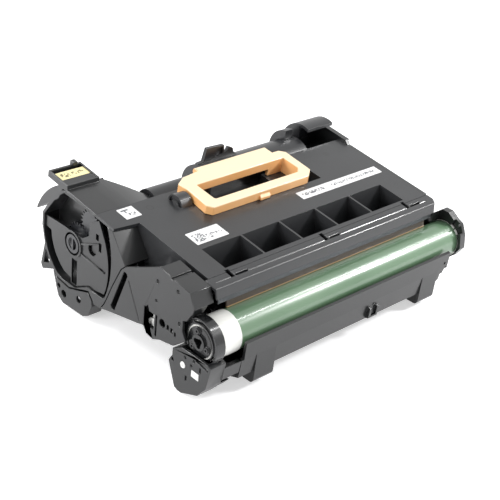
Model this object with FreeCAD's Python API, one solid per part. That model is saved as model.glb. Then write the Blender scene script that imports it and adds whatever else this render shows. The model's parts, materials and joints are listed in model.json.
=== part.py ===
import FreeCAD, Part
import math
import os
from FreeCAD import Vector

# A printer drum unit. x runs along the drum, y to the rear, z up, in millimetres.
# The origin is on the drum's axis, in the plane of the left end's outer face.

# Overall sizes
COVER_LEFT = 21.0
FLOOR_Z = -46.0
WALL = 2.4
THIN = 1.8
FIT = 0.05
GAP = 0.3
SEAT = 0.1

# Sloped top: height above the drum's axis at y = 0, and its rise to the rear
TOP_Z = 34.6
SLOPE = 6.6
COVER_FRONT = 14.5
COVER_REAR = 112.0

# Drum
DRUM_R = 15.0
TUBE_WALL = 0.9
DRUM_START = 29.0
DRUM_LENGTH = 236.0
DRUM_END = DRUM_START + DRUM_LENGTH
COVER_RIGHT = DRUM_END - 14.4
BAND_R = 15.35
BAND_START = 12.6
JOURNAL_R = 12.6
FACE_X = 5.0
FACE_WALL = 1.4
COUPLING_DISC_R = 11.3
PLUG_DEPTH = 9.0
RIGHT_BAND = 1.8
PIN_R = 3.0
PIN_END = DRUM_END + 6.6

# Gears: module, teeth, face width and backlash
MODULE = 1.0
DRUM_TEETH = 28
IDLER_TEETH = 12
AUGER_TEETH = 12
COUPLING_TEETH = 28
DUCT_TEETH = 20
END_DEPTH = 12.0
GEAR_FACE = 4.6
GEAR_START = END_DEPTH - GEAR_FACE - 0.4
BACKLASH = 0.16
PRESSURE = 20.0

# Cleaning auger, in the trough behind the blade
AUGER_Y = 13.0
AUGER_Z = 25.5
AUGER_SHAFT_R = 1.6
AUGER_R = 3.1
AUGER_PITCH = 12.0

# Charge roller, pressed against the drum from behind
CHARGE_R = 6.0
CHARGE_SHAFT_R = 2.5
CHARGE_ANGLE = 8.0
CHARGE_START = 33.0
CHARGE_END = DRUM_END - 22.0

# Pockets in the top cover
POCKETS = 5
POCKET_START = 39.6
POCKET_PITCH = (COVER_RIGHT - 21.0 - POCKET_START) / POCKETS
POCKET_RIB = 1.7
POCKET_FRONT = 18.4
POCKET_BACK = 43.4
POCKET_DEPTH = 20.0
POCKET_DRAFT = 7.0

# Handle and its recess
RECESS_LEFT = 74.0
RECESS_RIGHT = COVER_RIGHT - 60.6
RECESS_FRONT = 73.2
RECESS_DEPTH = 15.0
HANDLE_LEFT = 71.0
HANDLE_RIGHT = COVER_RIGHT - 68.6
HANDLE_FRONT = 72.0
HANDLE_TOP = 7.6
HANDLE_DEEP = 7.2
HANDLE_BEAM = 8.6
HANDLE_ARM = 8.0
HANDLE_BACK = 102.0
HINGE_R = 1.1
KNUCKLE_R = 3.0
HINGE_Y = 118.0

# Duct behind the top cover
DUCT_Y = 127.5
DUCT_Z = 30.8
DUCT_R = 20.0
DUCT_START = 109.5
DUCT_END = COVER_RIGHT - 34.6
LOW_DUCT_R = 12.8
LOW_DUCT_START = 60.0

# Rear right cover
HOOD_Y = 128.0
HOOD_Z = 40.0
HOOD_R = 21.0
HOOD_START = COVER_RIGHT - 29.6
FIN_START = COVER_RIGHT - 46.6
FIN_WIDTH = 8.0
FIN_R = 18.6

# Left end
SHELF_Z = 6.0
DRIVE_DEPTH = 13.6
DRIVE_BACK = 16.0

TAN = math.tan(math.radians(SLOPE))


def top(y, above=0.0):
    """Height of the sloped top at y, or of a plane above it."""
    return TOP_Z + y * TAN + above / math.cos(math.radians(SLOPE))


HINGE = (HINGE_Y, top(HINGE_Y, HANDLE_TOP) - KNUCKLE_R)


FRAME_START = COVER_LEFT + THIN + SEAT

# Shapes from outlines


def wire(items, place):
    """Closed wire through the items. An item of three values is a point that an arc passes through."""
    edges = []
    count = len(items)
    start = items[0]
    index = 1
    while index <= count:
        item = items[index % count]
        if len(item) == 3:
            end = items[(index + 1) % count]
            edges.append(Part.Arc(place(*start), place(*item[1:]), place(*end)).toShape())
            index += 2
        else:
            end = item
            edges.append(Part.LineSegment(place(*start), place(*end)).toShape())
            index += 1
        start = end
    return Part.Wire(edges)


def prism_x(items, x0, x1):
    """Outline in y and z, run from x0 to x1."""
    face = Part.Face(wire(items, lambda y, z: Vector(x0, y, z)))
    return face.extrude(Vector(x1 - x0, 0, 0))


def prism_y(items, y0, y1):
    """Outline in x and z, run from y0 to y1."""
    face = Part.Face(wire(items, lambda x, z: Vector(x, y0, z)))
    return face.extrude(Vector(0, y1 - y0, 0))


def prism_z(items, z0, z1):
    """Outline in x and y, run from z0 to z1."""
    face = Part.Face(wire(items, lambda x, y: Vector(x, y, z0)))
    return face.extrude(Vector(0, 0, z1 - z0))


def inset(points, distance):
    """Corners of the outline drawn in by a distance."""
    count = len(points)
    pairs = [(points[i], points[(i + 1) % count]) for i in range(count)]
    area = sum(a[0] * b[1] - b[0] * a[1] for a, b in pairs)
    side = 1 if area > 0 else -1
    lines = []
    for a, b in pairs:
        length = math.hypot(b[0] - a[0], b[1] - a[1])
        along = ((b[0] - a[0]) / length, (b[1] - a[1]) / length)
        inward = (-along[1] * side * distance, along[0] * side * distance)
        lines.append(((a[0] + inward[0], a[1] + inward[1]), along))
    corners = []
    for index in range(count):
        (p, u), (q, v) = lines[index - 1], lines[index]
        turn = u[0] * v[1] - u[1] * v[0]
        if abs(turn) < 0.001:
            corners.append(q)
        else:
            reach = ((q[0] - p[0]) * v[1] - (q[1] - p[1]) * v[0]) / turn
            corners.append((p[0] + reach * u[0], p[1] + reach * u[1]))
    return corners


def shrunk_x(points, distance, x0, x1):
    """The outline of prism_x, drawn in by a distance."""
    return prism_x(inset(points, distance), x0, x1)


def box(x0, x1, y0, y1, z0, z1):
    return Part.makeBox(x1 - x0, y1 - y0, z1 - z0, Vector(x0, y0, z0))


def rod(x0, x1, y, z, r):
    """Cylinder along x."""
    return Part.makeCylinder(r, x1 - x0, Vector(x0, y, z), Vector(1, 0, 0))


def ring(x0, x1, y, z, outer, inner):
    return rod(x0, x1, y, z, outer).cut(rod(x0 - 1, x1 + 1, y, z, inner))


def joined(shapes):
    result = shapes[0]
    if len(shapes) > 1:
        result = result.multiFuse(shapes[1:])
    return result.removeSplitter()


def without(shape, cuts):
    for cut in cuts:
        shape = shape.cut(cut)
    return shape.removeSplitter()


def on_slope(shape):
    """Places a shape built on a level plane, with y up the slope and z above it, on the sloped top."""
    shape = shape.copy()
    shape.rotate(Vector(0, 0, 0), Vector(1, 0, 0), SLOPE)
    shape.translate(Vector(0, 0, TOP_Z))
    return shape


def round_edges(shape, radius, chosen):
    edges = [edge for edge in shape.Edges if chosen(edge)]
    return shape.makeFillet(radius, edges)


# Gears


def tooth_flank(teeth, side, centre_angle):
    """Points up one involute flank of a tooth, root to tip, as polar pairs."""
    pitch_r = MODULE * teeth / 2
    base_r = pitch_r * math.cos(math.radians(PRESSURE))
    tip_r = pitch_r + 0.9 * MODULE
    root_r = pitch_r - 1.15 * MODULE
    half = (math.pi * MODULE / 2 - BACKLASH) / (2 * pitch_r)
    involute = math.tan(math.radians(PRESSURE)) - math.radians(PRESSURE)
    points = []
    start_r = max(base_r, root_r)
    if root_r < base_r:
        points.append((root_r, centre_angle + side * (half + involute)))
    steps = 3
    for step in range(steps + 1):
        r = start_r + (tip_r - start_r) * step / steps
        tangent = math.sqrt(max((r / base_r) ** 2 - 1, 0))
        spread = tangent - math.atan(tangent)
        points.append((r, centre_angle + side * (half + involute - spread)))
    return points


def gear(teeth, y, z, phase, x0, face):
    """Spur gear about an axis along x. phase is the angle of one tooth's centre from +y, in degrees."""
    corners = []
    for tooth in range(teeth):
        centre = math.radians(phase) + 2 * math.pi * tooth / teeth
        corners += tooth_flank(teeth, -1, centre)
        corners += list(reversed(tooth_flank(teeth, 1, centre)))
    points = [Vector(x0, y + r * math.cos(a), z + r * math.sin(a)) for r, a in corners]
    return Part.Face(Part.makePolygon(points + points[:1])).extrude(Vector(face, 0, 0))


def meshing_phase(driver_phase, driver_teeth, driven_teeth, direction):
    """Phase that puts a gap of the driven gear on the driver's tooth along the line of centres."""
    driver_offset = (direction - driver_phase) * driver_teeth / 360.0
    toward = direction + 180.0
    return toward + (driver_offset + 0.5) * 360.0 / driven_teeth


def third_point(a, b, to_a, to_b):
    """Point at given distances from a and b, on the rear side of the line between them."""
    dy = b[0] - a[0]
    dz = b[1] - a[1]
    span = math.hypot(dy, dz)
    along = (to_a**2 - to_b**2 + span**2) / (2 * span)
    across = math.sqrt(to_a**2 - along**2)
    return (a[0] + (along * dy + across * dz) / span, a[1] + (along * dz - across * dy) / span)


def heading(a, b):
    return math.degrees(math.atan2(b[1] - a[1], b[0] - a[0]))


DRUM = (0.0, 0.0)
AUGER = (AUGER_Y, AUGER_Z)
IDLER = third_point(
    DRUM,
    AUGER,
    MODULE * (DRUM_TEETH + IDLER_TEETH) / 2,
    MODULE * (IDLER_TEETH + AUGER_TEETH) / 2,
)
DUCT = (DUCT_Y, DUCT_Z)
COUPLING_HEADING = -59.0
COUPLING_REACH = MODULE * (COUPLING_TEETH + DUCT_TEETH) / 2
COUPLING = (
    DUCT_Y + COUPLING_REACH * math.cos(math.radians(COUPLING_HEADING)),
    DUCT_Z + COUPLING_REACH * math.sin(math.radians(COUPLING_HEADING)),
)
IDLER_PHASE = meshing_phase(0.0, DRUM_TEETH, IDLER_TEETH, heading(DRUM, IDLER))
AUGER_PHASE = meshing_phase(IDLER_PHASE, IDLER_TEETH, AUGER_TEETH, heading(IDLER, AUGER))
DUCT_PHASE = meshing_phase(0.0, COUPLING_TEETH, DUCT_TEETH, heading(COUPLING, DUCT))
CHARGE_REACH = DRUM_R + CHARGE_R + GAP
CHARGE = (
    CHARGE_REACH * math.cos(math.radians(CHARGE_ANGLE)),
    CHARGE_REACH * math.sin(math.radians(CHARGE_ANGLE)),
)

# Top cover: sloped plate with wells, recess and side skirts


def pocket_tool(index):
    """Inside of one pocket, drawn in towards its floor at the front and back."""
    x0 = POCKET_START + index * POCKET_PITCH
    x1 = x0 + POCKET_PITCH - POCKET_RIB
    section = [
        (POCKET_FRONT, 1.0),
        (POCKET_BACK, 1.0),
        (POCKET_BACK, 0.0),
        (POCKET_BACK - POCKET_DRAFT, -POCKET_DEPTH),
        (POCKET_FRONT + 1.5, -POCKET_DEPTH),
        (POCKET_FRONT, 0.0),
    ]
    return prism_x(section, x0, x1)


def top_cover():
    plan = [
        (0.0, 91.6),
        (COVER_LEFT, 89.4),
        (COVER_LEFT, COVER_FRONT),
        (COVER_RIGHT, COVER_FRONT),
        (COVER_RIGHT, COVER_REAR),
        (0.0, COVER_REAR),
    ]
    plate = prism_z(plan, -WALL, 0.0)
    wells_end = POCKET_START + POCKETS * POCKET_PITCH
    well = [
        (POCKET_FRONT - THIN, -0.5),
        (POCKET_BACK + THIN, -0.5),
        (POCKET_BACK + THIN - POCKET_DRAFT, -POCKET_DEPTH - THIN),
        (POCKET_FRONT + 1.5 - THIN, -POCKET_DEPTH - THIN),
    ]
    wells = prism_x(well, POCKET_START - THIN, wells_end - POCKET_RIB + THIN)
    recess_outer = box(
        RECESS_LEFT - THIN,
        RECESS_RIGHT + THIN,
        RECESS_FRONT - THIN,
        COVER_REAR,
        -RECESS_DEPTH - THIN,
        -0.5,
    )
    skirt_left = box(COVER_LEFT, COVER_LEFT + THIN, COVER_FRONT, 93.0, -36.0, -0.5)
    skirt_right = box(COVER_RIGHT - THIN, COVER_RIGHT, COVER_FRONT + 6, COVER_REAR, -20.0, -0.5)
    rear_lip = box(RECESS_RIGHT + THIN, COVER_RIGHT, COVER_REAR - THIN, COVER_REAR, -9.0, -0.5)
    rear_lip_left = box(LOW_DUCT_START, RECESS_LEFT, COVER_REAR - THIN, COVER_REAR, -9.0, -0.5)
    boss_y = 98.0
    boss = rod(60.5, HANDLE_LEFT - 0.6, boss_y, -2.2, 8.6)
    dish = ring(60.0, 61.6, boss_y, -2.2, 7.4, 4.6)
    body = joined(
        [plate, wells, recess_outer, skirt_left, skirt_right, rear_lip, rear_lip_left, boss]
    )
    recess = box(
        RECESS_LEFT, RECESS_RIGHT, RECESS_FRONT, COVER_REAR + 1, -RECESS_DEPTH, 12.0
    )
    step = box(
        RECESS_RIGHT - 34.0,
        RECESS_RIGHT - 8.0,
        RECESS_FRONT + 18.0,
        COVER_REAR - 6.0,
        -RECESS_DEPTH - 0.4,
        -6.0,
    )
    below_boss = box(60.0, RECESS_LEFT - THIN, 80.0, COVER_REAR - THIN, -14.0, -WALL)
    cuts = [pocket_tool(index) for index in range(POCKETS)]
    body = without(body, cuts + [recess, dish, below_boss])
    body = joined([body, step])
    latch = []
    for x in latch_places():
        latch.append(box(x - 7.0, x - 3.6, COVER_FRONT - 1, COVER_FRONT + 2.2, -3.0, 1.0))
    cover = on_slope(without(body, latch))
    frame_room = prism_x(inset(FRAME_OUTLINE, -SEAT), FRAME_START - SEAT, COVER_RIGHT + 1)
    below_shelf = box(0.0, FRAME_START, 0.0, 130.0, -60.0, SHELF_Z + SEAT)
    front_low = box(0.0, FRAME_START, 0.0, 40.0, -60.0, top(COVER_FRONT) - 26.0)
    return without(cover, [frame_room, below_shelf, front_low])


# Front strip over the drum, held by three snap hooks


def latch_places():
    spacing = (COVER_RIGHT - COVER_LEFT - 44.6) / 2
    return [COVER_LEFT + 23.0 + spacing * index for index in range(3)]


STRIP_RIDGE = 2.6
STRIP_FOOT_Z = 26.8
STRIP_LEFT = 18.0
STRIP_RIGHT = COVER_RIGHT + 2.6


def front_cover():
    ridge = top(STRIP_RIDGE) - 0.2
    outside = [
        (COVER_FRONT - SEAT, top(COVER_FRONT)),
        (STRIP_RIDGE + 0.8, ridge + 0.2),
        (STRIP_RIDGE, ridge - 0.8),
        (STRIP_RIDGE - 1.4, STRIP_FOOT_Z),
        (STRIP_RIDGE - 1.4 + THIN, STRIP_FOOT_Z),
        (STRIP_RIDGE + WALL - 0.4, ridge - WALL),
        (COVER_FRONT - SEAT, top(COVER_FRONT) - WALL),
    ]
    strip = prism_x(outside, STRIP_LEFT, STRIP_RIGHT)
    end_cut = prism_z(
        [(STRIP_RIGHT - 6.0, 0.0), (STRIP_RIGHT + 1.0, 0.0), (STRIP_RIGHT + 1.0, 9.0)], 15.0, 50.0
    )
    groove = prism_x(
        [(8.4, top(8.4) - 0.7), (9.2, top(9.2) - 0.7), (9.2, 60.0), (8.4, 60.0)],
        COVER_LEFT + 2,
        STRIP_RIGHT - 8,
    )
    cuts = [end_cut, groove]
    hooks = []
    for x in latch_places():
        slot = box(x - 2.6, x + 9.0, 9.2, 10.6, 20.0, 60.0)
        notch = box(x - 7.0, x - 3.6, 9.0, 20.0, 20.0, 60.0)
        cuts += [slot, notch]
        hook = [
            (COVER_FRONT - WALL, top(COVER_FRONT) - 1.0),
            (COVER_FRONT - WALL, 32.6),
            (COVER_FRONT - SEAT, 32.6),
            (COVER_FRONT - SEAT, top(COVER_FRONT) - 1.0),
        ]
        hooks.append(prism_x(hook, x - 2.0, x + 7.0))
    return joined([without(strip, cuts)] + hooks)





# Left side plate with the two pads on its top edge

SIDE_OUTLINE = [
    (76.0, 22.0),
    (40.0, 39.9),
    (29.0, 38.2),
    (24.0, 37.6),
    (8.0, 35.4),
    (3.2, 24.6),
    (4.4, 21.4),
    (9.6, 12.6),
    (13.4, 11.0),
    (13.4, 3.0),
    (9.4, -3.4),
    (21.6, -13.6),
    (36.0, -16.6),
    (43.0, -20.0),
    (50.0, -19.0),
    (54.0, -14.0),
    (60.0, -16.0),
    (92.0, -23.4),
    (103.0, -26.4),
    (99.0, -20.8),
    (96.6, -16.0),
    (89.6, 0.0),
    (80.8, 17.6),
]
PAD_RIGHT = 17.6
SLOT_DEPTH = 9.0


def left_side_plate():
    shell = prism_x(SIDE_OUTLINE, 0.0, END_DEPTH)
    inner = shrunk_x(SIDE_OUTLINE, THIN, WALL, END_DEPTH + 1)
    shell = shell.cut(inner)
    pads = [
        (40.0, 39.9),
        (29.0, 38.2),
        (24.0, 37.6),
        (8.0, 35.4),
        (3.2, 24.6),
        (3.2 + THIN, 24.2),
        (8.0 + THIN, 35.4 - THIN),
        (40.0, 39.9 - THIN - 0.2),
    ]
    shelf = prism_x(pads, 0.5, PAD_RIGHT)
    back = box(WALL, END_DEPTH, 40.0 - THIN, 40.0, SHELF_Z, 38.6)
    posts = [
        rod(WALL - 1, GEAR_START + GEAR_FACE + 0.2, IDLER[0], IDLER[1], 2.0),
        rod(WALL - 1, GEAR_START - 0.3, IDLER[0], IDLER[1], 3.4),
    ]
    seat = ring(WALL - 0.5, GEAR_START - 0.6, AUGER_Y, AUGER_Z, 3.6, AUGER_SHAFT_R + FIT)
    slanted_slot = prism_x(
        [(78.4, 15.2), ("arc", 77.0, 17.4), (73.9, 15.0), (86.0, -17.0), ("arc", 88.6, -19.4), (91.0, -17.0)],
        -1,
        END_DEPTH + 1,
    )
    slot_wall = prism_x(
        [(80.2, 16.0), ("arc", 76.6, 19.4), (72.0, 15.2), (84.2, -18.0), ("arc", 88.6, -21.4), (92.8, -17.2)],
        1.0,
        SLOT_DEPTH,
    )
    slot_wall = slot_wall.common(prism_x(SIDE_OUTLINE, 0.0, END_DEPTH))
    body = joined([shell, shelf, back, seat, slot_wall] + posts)
    hollow_top = prism_x(
        [(39.9, SHELF_Z), (39.9, 60.0), (90.0, 60.0), (82.0, SHELF_Z)], WALL, COVER_LEFT
    )
    groove = prism_x([(25.0, 36.2), (27.4, 36.4), (27.4, 50.0), (25.0, 50.0)], -1, PAD_RIGHT + 1)
    seam = prism_x([(72.6, 12.6), (71.6, 12.6), (57.8, -13.4), (58.8, -13.4)], -1, 1.0)
    terminal_window = prism_x(
        [(50.0, 5.0), (48.4, 0.6), (42.6, 0.6), (42.6, -12.0), (52.6, -12.0), (52.6, 1.6)],
        -1,
        WALL + 0.5,
    )
    stem_slots = [
        box(-1, WALL + 0.5, 39.6, 41.2, -16.2, 1.2),
        box(-1, WALL + 0.5, 52.8, 53.8, -13.6, 2.4),
        box(-1, WALL + 0.5, 48.8, 50.0, -18.2, -12.0),
    ]
    vents = [
        rod(-1, WALL + 0.5, 34.0, -1.8, 3.1),
        box(-1, WALL + 0.5, 27.0, 29.2, -4.2, -0.2),
        box(-1, WALL + 0.5, 23.0, 25.2, -4.8, -0.8),
        box(-1, WALL + 0.5, 19.4, 21.2, -5.6, -2.0),
    ]
    holes = []
    for y, z, r in [(41.0, 28.0, 1.4), (20.0, 30.5, 1.4), (41.4, 12.4, 1.1), (16.4, 7.0, 1.5)]:
        holes.append(rod(-1, 1.2, y, z, r))
    cup_room = rod(WALL, END_DEPTH + 1, 0.0, 0.0, BEARING_R + SEAT)
    mesh_rooms = [
        rod(GEAR_START - 0.5, END_DEPTH + 1, IDLER[0], IDLER[1], 7.4),
        rod(GEAR_START - 0.5, END_DEPTH + 1, AUGER_Y, AUGER_Z, 7.4),
    ]
    cuts = [hollow_top, groove, slanted_slot, seam, terminal_window, cup_room]
    body = without(body, cuts + stem_slots + vents + holes + mesh_rooms)
    return joined([body] + posts)


# Left drum bearing: a round cup with an arc slot in its face, open where the idler meshes

BEARING_R = 17.4
BEARING_FOOT = -9.2


def arc_slot(inner, outer, first, last, x0, x1):
    """Curved slot about the drum's axis, between two angles from +y toward +z."""
    spots = []
    for r, angle in [(outer, first), (outer, (first + last) / 2), (outer, last), (inner, last)]:
        spots.append((r * math.cos(math.radians(angle)), r * math.sin(math.radians(angle))))
    middle = math.radians((first + last) / 2)
    spots.append((inner * math.cos(middle), inner * math.sin(middle)))
    spots.append((inner * math.cos(math.radians(first)), inner * math.sin(math.radians(first))))
    outline = [spots[0], ("arc", *spots[1]), spots[2], spots[3], ("arc", *spots[4]), spots[5]]
    return prism_x(outline, x0, x1)


def left_bearing():
    cup = rod(FACE_X, END_DEPTH, 0.0, 0.0, BEARING_R)
    room = rod(FACE_X + FACE_WALL, END_DEPTH + 1, 0.0, 0.0, BAND_R + 0.35)
    bore = rod(FACE_X - 1, END_DEPTH, 0.0, 0.0, JOURNAL_R + FIT)
    rim = ring(FACE_X - 0.8, FACE_X + 0.5, 0.0, 0.0, BEARING_R, BEARING_R - 1.2)
    collar = ring(FACE_X - 0.8, FACE_X + 0.5, 0.0, 0.0, JOURNAL_R + 1.2, JOURNAL_R + FIT)
    slots = [
        arc_slot(14.2, 16.0, 58.0, 142.0, FACE_X - 1, FACE_X + FACE_WALL + 1),
        arc_slot(14.2, 16.0, 196.0, 236.0, FACE_X - 1, FACE_X + FACE_WALL + 1),
    ]
    ways = [
        rod(FACE_X + FACE_WALL, END_DEPTH + 1, IDLER[0], IDLER[1], 7.6),
        rod(FACE_X - 2, END_DEPTH + 1, IDLER[0], IDLER[1], 3.6),
    ]
    foot_cut = box(0.0, END_DEPTH + 1, -20.0, 20.0, -20.0, BEARING_FOOT)
    return without(joined([cup, rim, collar]), [room, bore, foot_cut] + ways + slots)


# Drum


def drum_tube():
    return ring(DRUM_START, DRUM_END, 0.0, 0.0, DRUM_R, DRUM_R - TUBE_WALL)


def drum_flange_left():
    """White moulding: journal, gear, smooth band and the plug that holds the tube."""
    journal = rod(FACE_X + 0.4, GEAR_START, 0.0, 0.0, JOURNAL_R)
    teeth = gear(DRUM_TEETH, 0.0, 0.0, 0.0, GEAR_START, GEAR_FACE)
    neck = rod(GEAR_START + GEAR_FACE, BAND_START, 0.0, 0.0, JOURNAL_R)
    band = rod(BAND_START, DRUM_START, 0.0, 0.0, BAND_R)
    plug = rod(DRUM_START, DRUM_START + PLUG_DEPTH, 0.0, 0.0, DRUM_R - TUBE_WALL)
    body = joined([journal, teeth, neck, band, plug])
    spigot = rod(FACE_X - 1, SPIGOT_END, 0.0, 0.0, SPIGOT_R + FIT)
    hollow = rod(18.0, DRUM_START + PLUG_DEPTH + 1, 0.0, 0.0, DRUM_R - TUBE_WALL - 1.6)
    return without(body, [spigot, hollow])


SPIGOT_R = 7.0
SPIGOT_END = 11.0
LOBE_REACH = 8.2
LOBE_R = 2.9


def drum_coupling():
    """Black coupling set in the flange: a disc with three holed lobes round a three-lobed socket."""
    front = FACE_X - 1.4
    disc = rod(FACE_X - 0.6, FACE_X + 0.4, 0.0, 0.0, COUPLING_DISC_R)
    hub = rod(front - 0.8, FACE_X, 0.0, 0.0, 6.0)
    spigot = rod(FACE_X, SPIGOT_END, 0.0, 0.0, SPIGOT_R)
    bodies = [disc, hub, spigot]
    holes = []
    for index in range(3):
        turn = math.radians(75.0 + 120.0 * index)
        y = LOBE_REACH * math.cos(turn)
        z = LOBE_REACH * math.sin(turn)
        bodies.append(rod(front, FACE_X, y, z, LOBE_R))
        bodies.append(rod(front - 0.8, FACE_X, y, z, LOBE_R - 0.9))
        holes.append(rod(front - 2, FACE_X - 0.8, y, z, 0.9))
        rest = turn + math.radians(60.0)
        holes.append(rod(front - 2, SPIGOT_END - 2, 2.5 * math.cos(rest), 2.5 * math.sin(rest), 1.9))
    socket = rod(front - 2, SPIGOT_END - 2, 0.0, 0.0, 3.0)
    return without(joined(bodies), holes + [socket])


def drum_flange_right():
    band = rod(DRUM_END, DRUM_END + RIGHT_BAND, 0.0, 0.0, BAND_R)
    plug = rod(DRUM_END - PLUG_DEPTH, DRUM_END, 0.0, 0.0, DRUM_R - TUBE_WALL)
    hollow = ring(
        DRUM_END - PLUG_DEPTH - 1, DRUM_END + 0.8, 0.0, 0.0, DRUM_R - TUBE_WALL - 1.6, PIN_R + 2.0
    )
    bore = rod(DRUM_END - PLUG_DEPTH - 1, DRUM_END + 5, 0.0, 0.0, PIN_R + FIT)
    return without(joined([band, plug]), [hollow, bore])


def drum_pin():
    pin = rod(DRUM_END - PLUG_DEPTH + 1, PIN_END, 0.0, 0.0, PIN_R)
    edge = [e for e in pin.Edges if abs(e.BoundBox.XMax - PIN_END) < 0.01 and e.Closed]
    return pin.makeChamfer(0.6, edge[:1])


# Right end

RIGHT_WALL = 3.4
SADDLE_R = DRUM_R + 2.4
BRACKET_START = COVER_RIGHT + RIGHT_WALL
BRACKET_FACE = DRUM_END + RIGHT_BAND + 0.4
BRACKET_END = BRACKET_FACE + 3.2


def right_side_plate():
    outline = [
        (16.0, top(16.0)),
        (100.0, top(100.0)),
        (103.4, 49.8),
        (144.0, 54.6),
        (147.4, 52.6),
        (150.6, 44.0),
        (152.0, 12.0),
        (159.6, -6.0),
        (159.6, -26.0),
        (156.0, -40.0),
        (149.0, FLOOR_Z),
        (123.0, FLOOR_Z + 1.5),
        (113.0, -30.0),
        (60.0, -17.0),
        (44.0, -20.0),
        (36.0, FLOOR_Z),
        (20.0, FLOOR_Z),
        (12.0, -30.0),
        (-8.0, -30.0),
        (-14.0, -22.0),
    ]
    plate = prism_x(outline, COVER_RIGHT, COVER_RIGHT + RIGHT_WALL)
    saddle = rod(COVER_RIGHT - 1, COVER_RIGHT + RIGHT_WALL + 1, 0.0, 0.0, SADDLE_R)
    auger_hole = rod(COVER_RIGHT - 1, COVER_RIGHT + 2.0, AUGER_Y, AUGER_Z, AUGER_SHAFT_R + FIT)
    duct_hole = rod(COVER_RIGHT - 1, COVER_RIGHT + 2.0, DUCT_Y, DUCT_Z, DUCT_SHAFT_R + FIT)
    rim = [
        (103.4, 49.8),
        (144.0, 54.6),
        (147.4, 52.6),
        (146.0, 50.2),
        (143.2, 52.0),
        (103.8, 47.2),
    ]
    lip = prism_x(rim, COVER_RIGHT + RIGHT_WALL, COVER_RIGHT + RIGHT_WALL + 1.4)
    return without(joined([plate, lip]), [saddle, auger_hole, duct_hole])


def right_bracket():
    """Thin cup that holds the drum's pin. Its rim leaves two gaps in front of the white flange."""
    disc = [
        (9.0, 20.6),
        (4.6, 24.4),
        (-2.0, 24.2),
        (-8.6, 19.8),
        (-13.4, 17.8),
        (-17.4, 9.4),
        (-19.0, -1.6),
        (-14.2, -9.4),
        (-8.6, -14.6),
        (-1.6, -16.8),
        (9.0, -17.0),
        (17.0, -9.0),
        (20.0, 3.0),
    ]
    plate = prism_x(disc, BRACKET_FACE, BRACKET_END)
    rim = prism_x(disc, BRACKET_START, BRACKET_FACE + 1.0)
    room = rod(BRACKET_START - 1, BRACKET_FACE, 0.0, 0.0, BAND_R + 0.5)
    front = prism_x(
        [(7.0, 30.0), (-30.0, 30.0), (-30.0, -30.0), (-2.0, -30.0), (-2.0, -14.0), (7.0, 14.0)],
        BRACKET_START - 1,
        DRUM_END - 1.0,
    )
    gaps = [
        arc_slot(BAND_R - 2.0, 30.0, 112.0, 126.0, DRUM_END - 2, BRACKET_FACE),
        arc_slot(BAND_R - 2.0, 30.0, 130.0, 146.0, DRUM_END - 2, BRACKET_FACE),
        arc_slot(BAND_R - 2.0, 30.0, 206.0, 226.0, DRUM_END - 2, BRACKET_FACE),
        arc_slot(BAND_R - 2.0, 30.0, 229.0, 244.0, DRUM_END - 2, BRACKET_FACE),
    ]
    bore = rod(BRACKET_FACE - 1, BRACKET_END + 2, 0.0, 0.0, PIN_R)
    hub = ring(BRACKET_END - 1, BRACKET_END + 0.8, 0.0, 0.0, 6.4, PIN_R)
    rim = without(rim, [room, front])
    recess = rod(BRACKET_END - 1.4, BRACKET_END + 1, 0.0, 0.0, 12.6).cut(
        rod(BRACKET_END - 2, BRACKET_END + 1, 0.0, 0.0, 8.4)
    )
    return without(joined([without(plate, [recess]), rim, hub]), [bore] + gaps)


# Charge roller on its shaft, with sliding bearings pushed by springs

BEARING_LEFT = FRAME_START + 1.4
BEARING_WIDE = 5.0
SPRING_TURNS = 5
SPRING_R = 2.2
SPRING_WIRE = 0.35
CHARGE_LEFT = 20.0
CHARGE_RIGHT = COVER_RIGHT - 0.6


def charge_roller():
    return ring(CHARGE_START, CHARGE_END, CHARGE[0], CHARGE[1], CHARGE_R, CHARGE_SHAFT_R)


def charge_shaft():
    return rod(CHARGE_LEFT + 0.4, CHARGE_RIGHT - 0.4, CHARGE[0], CHARGE[1], CHARGE_SHAFT_R)


def charge_bearing(x):
    block = box(x, x + BEARING_WIDE, CHARGE[0] - 3.9, CHARGE[0] + 4.6, CHARGE[1] - 4.2, CHARGE[1] + 4.2)
    bore = rod(x - 1, x + BEARING_WIDE + 1, CHARGE[0], CHARGE[1], CHARGE_SHAFT_R + FIT)
    clear = rod(x - 1, x + BEARING_WIDE + 1, 0.0, 0.0, BAND_R + 0.6)
    return without(block, [bore, clear])


def charge_spring(x):
    """Compression spring between the bearing and the frame's front wall."""
    start = CHARGE[0] + 4.6
    length = FRAME_FRONT - start - 2 * SPRING_WIRE - SEAT
    helix = Part.makeHelix(length / SPRING_TURNS, length, SPRING_R)
    circle = Part.Circle(Vector(SPRING_R, 0, 0), Vector(0, 1, 0), SPRING_WIRE)
    profile = Part.Wire([circle.toShape()])
    spring = Part.Wire(helix.Edges).makePipeShell([profile], True, True)
    spring.rotate(Vector(0, 0, 0), Vector(1, 0, 0), -90)
    spring.translate(Vector(x + BEARING_WIDE / 2, start + SPRING_WIRE, CHARGE[1]))
    return spring


# Cleaning blade on its steel bracket

BLADE_START = 32.0
BLADE_END = DRUM_END - 21.0


def blade_bracket():
    section = [
        (5.2, 31.4),
        (5.2, 20.2),
        (6.4, 20.2),
        (6.4, 30.2),
        (10.6, 30.2),
        (10.6, 31.4),
    ]
    return prism_x(section, COVER_LEFT + 2.0, COVER_RIGHT - 0.2)


def cleaning_blade():
    tip_y = 5.4
    tip_z = math.sqrt((DRUM_R + GAP) ** 2 - tip_y**2)
    section = [
        (6.4, 29.0),
        (6.4, 19.6),
        (tip_y, tip_z),
        (tip_y + 1.4, tip_z + 0.5),
        (7.9, 19.8),
        (7.9, 29.0),
    ]
    return prism_x(section, BLADE_START, BLADE_END)


# Cleaning auger


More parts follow.
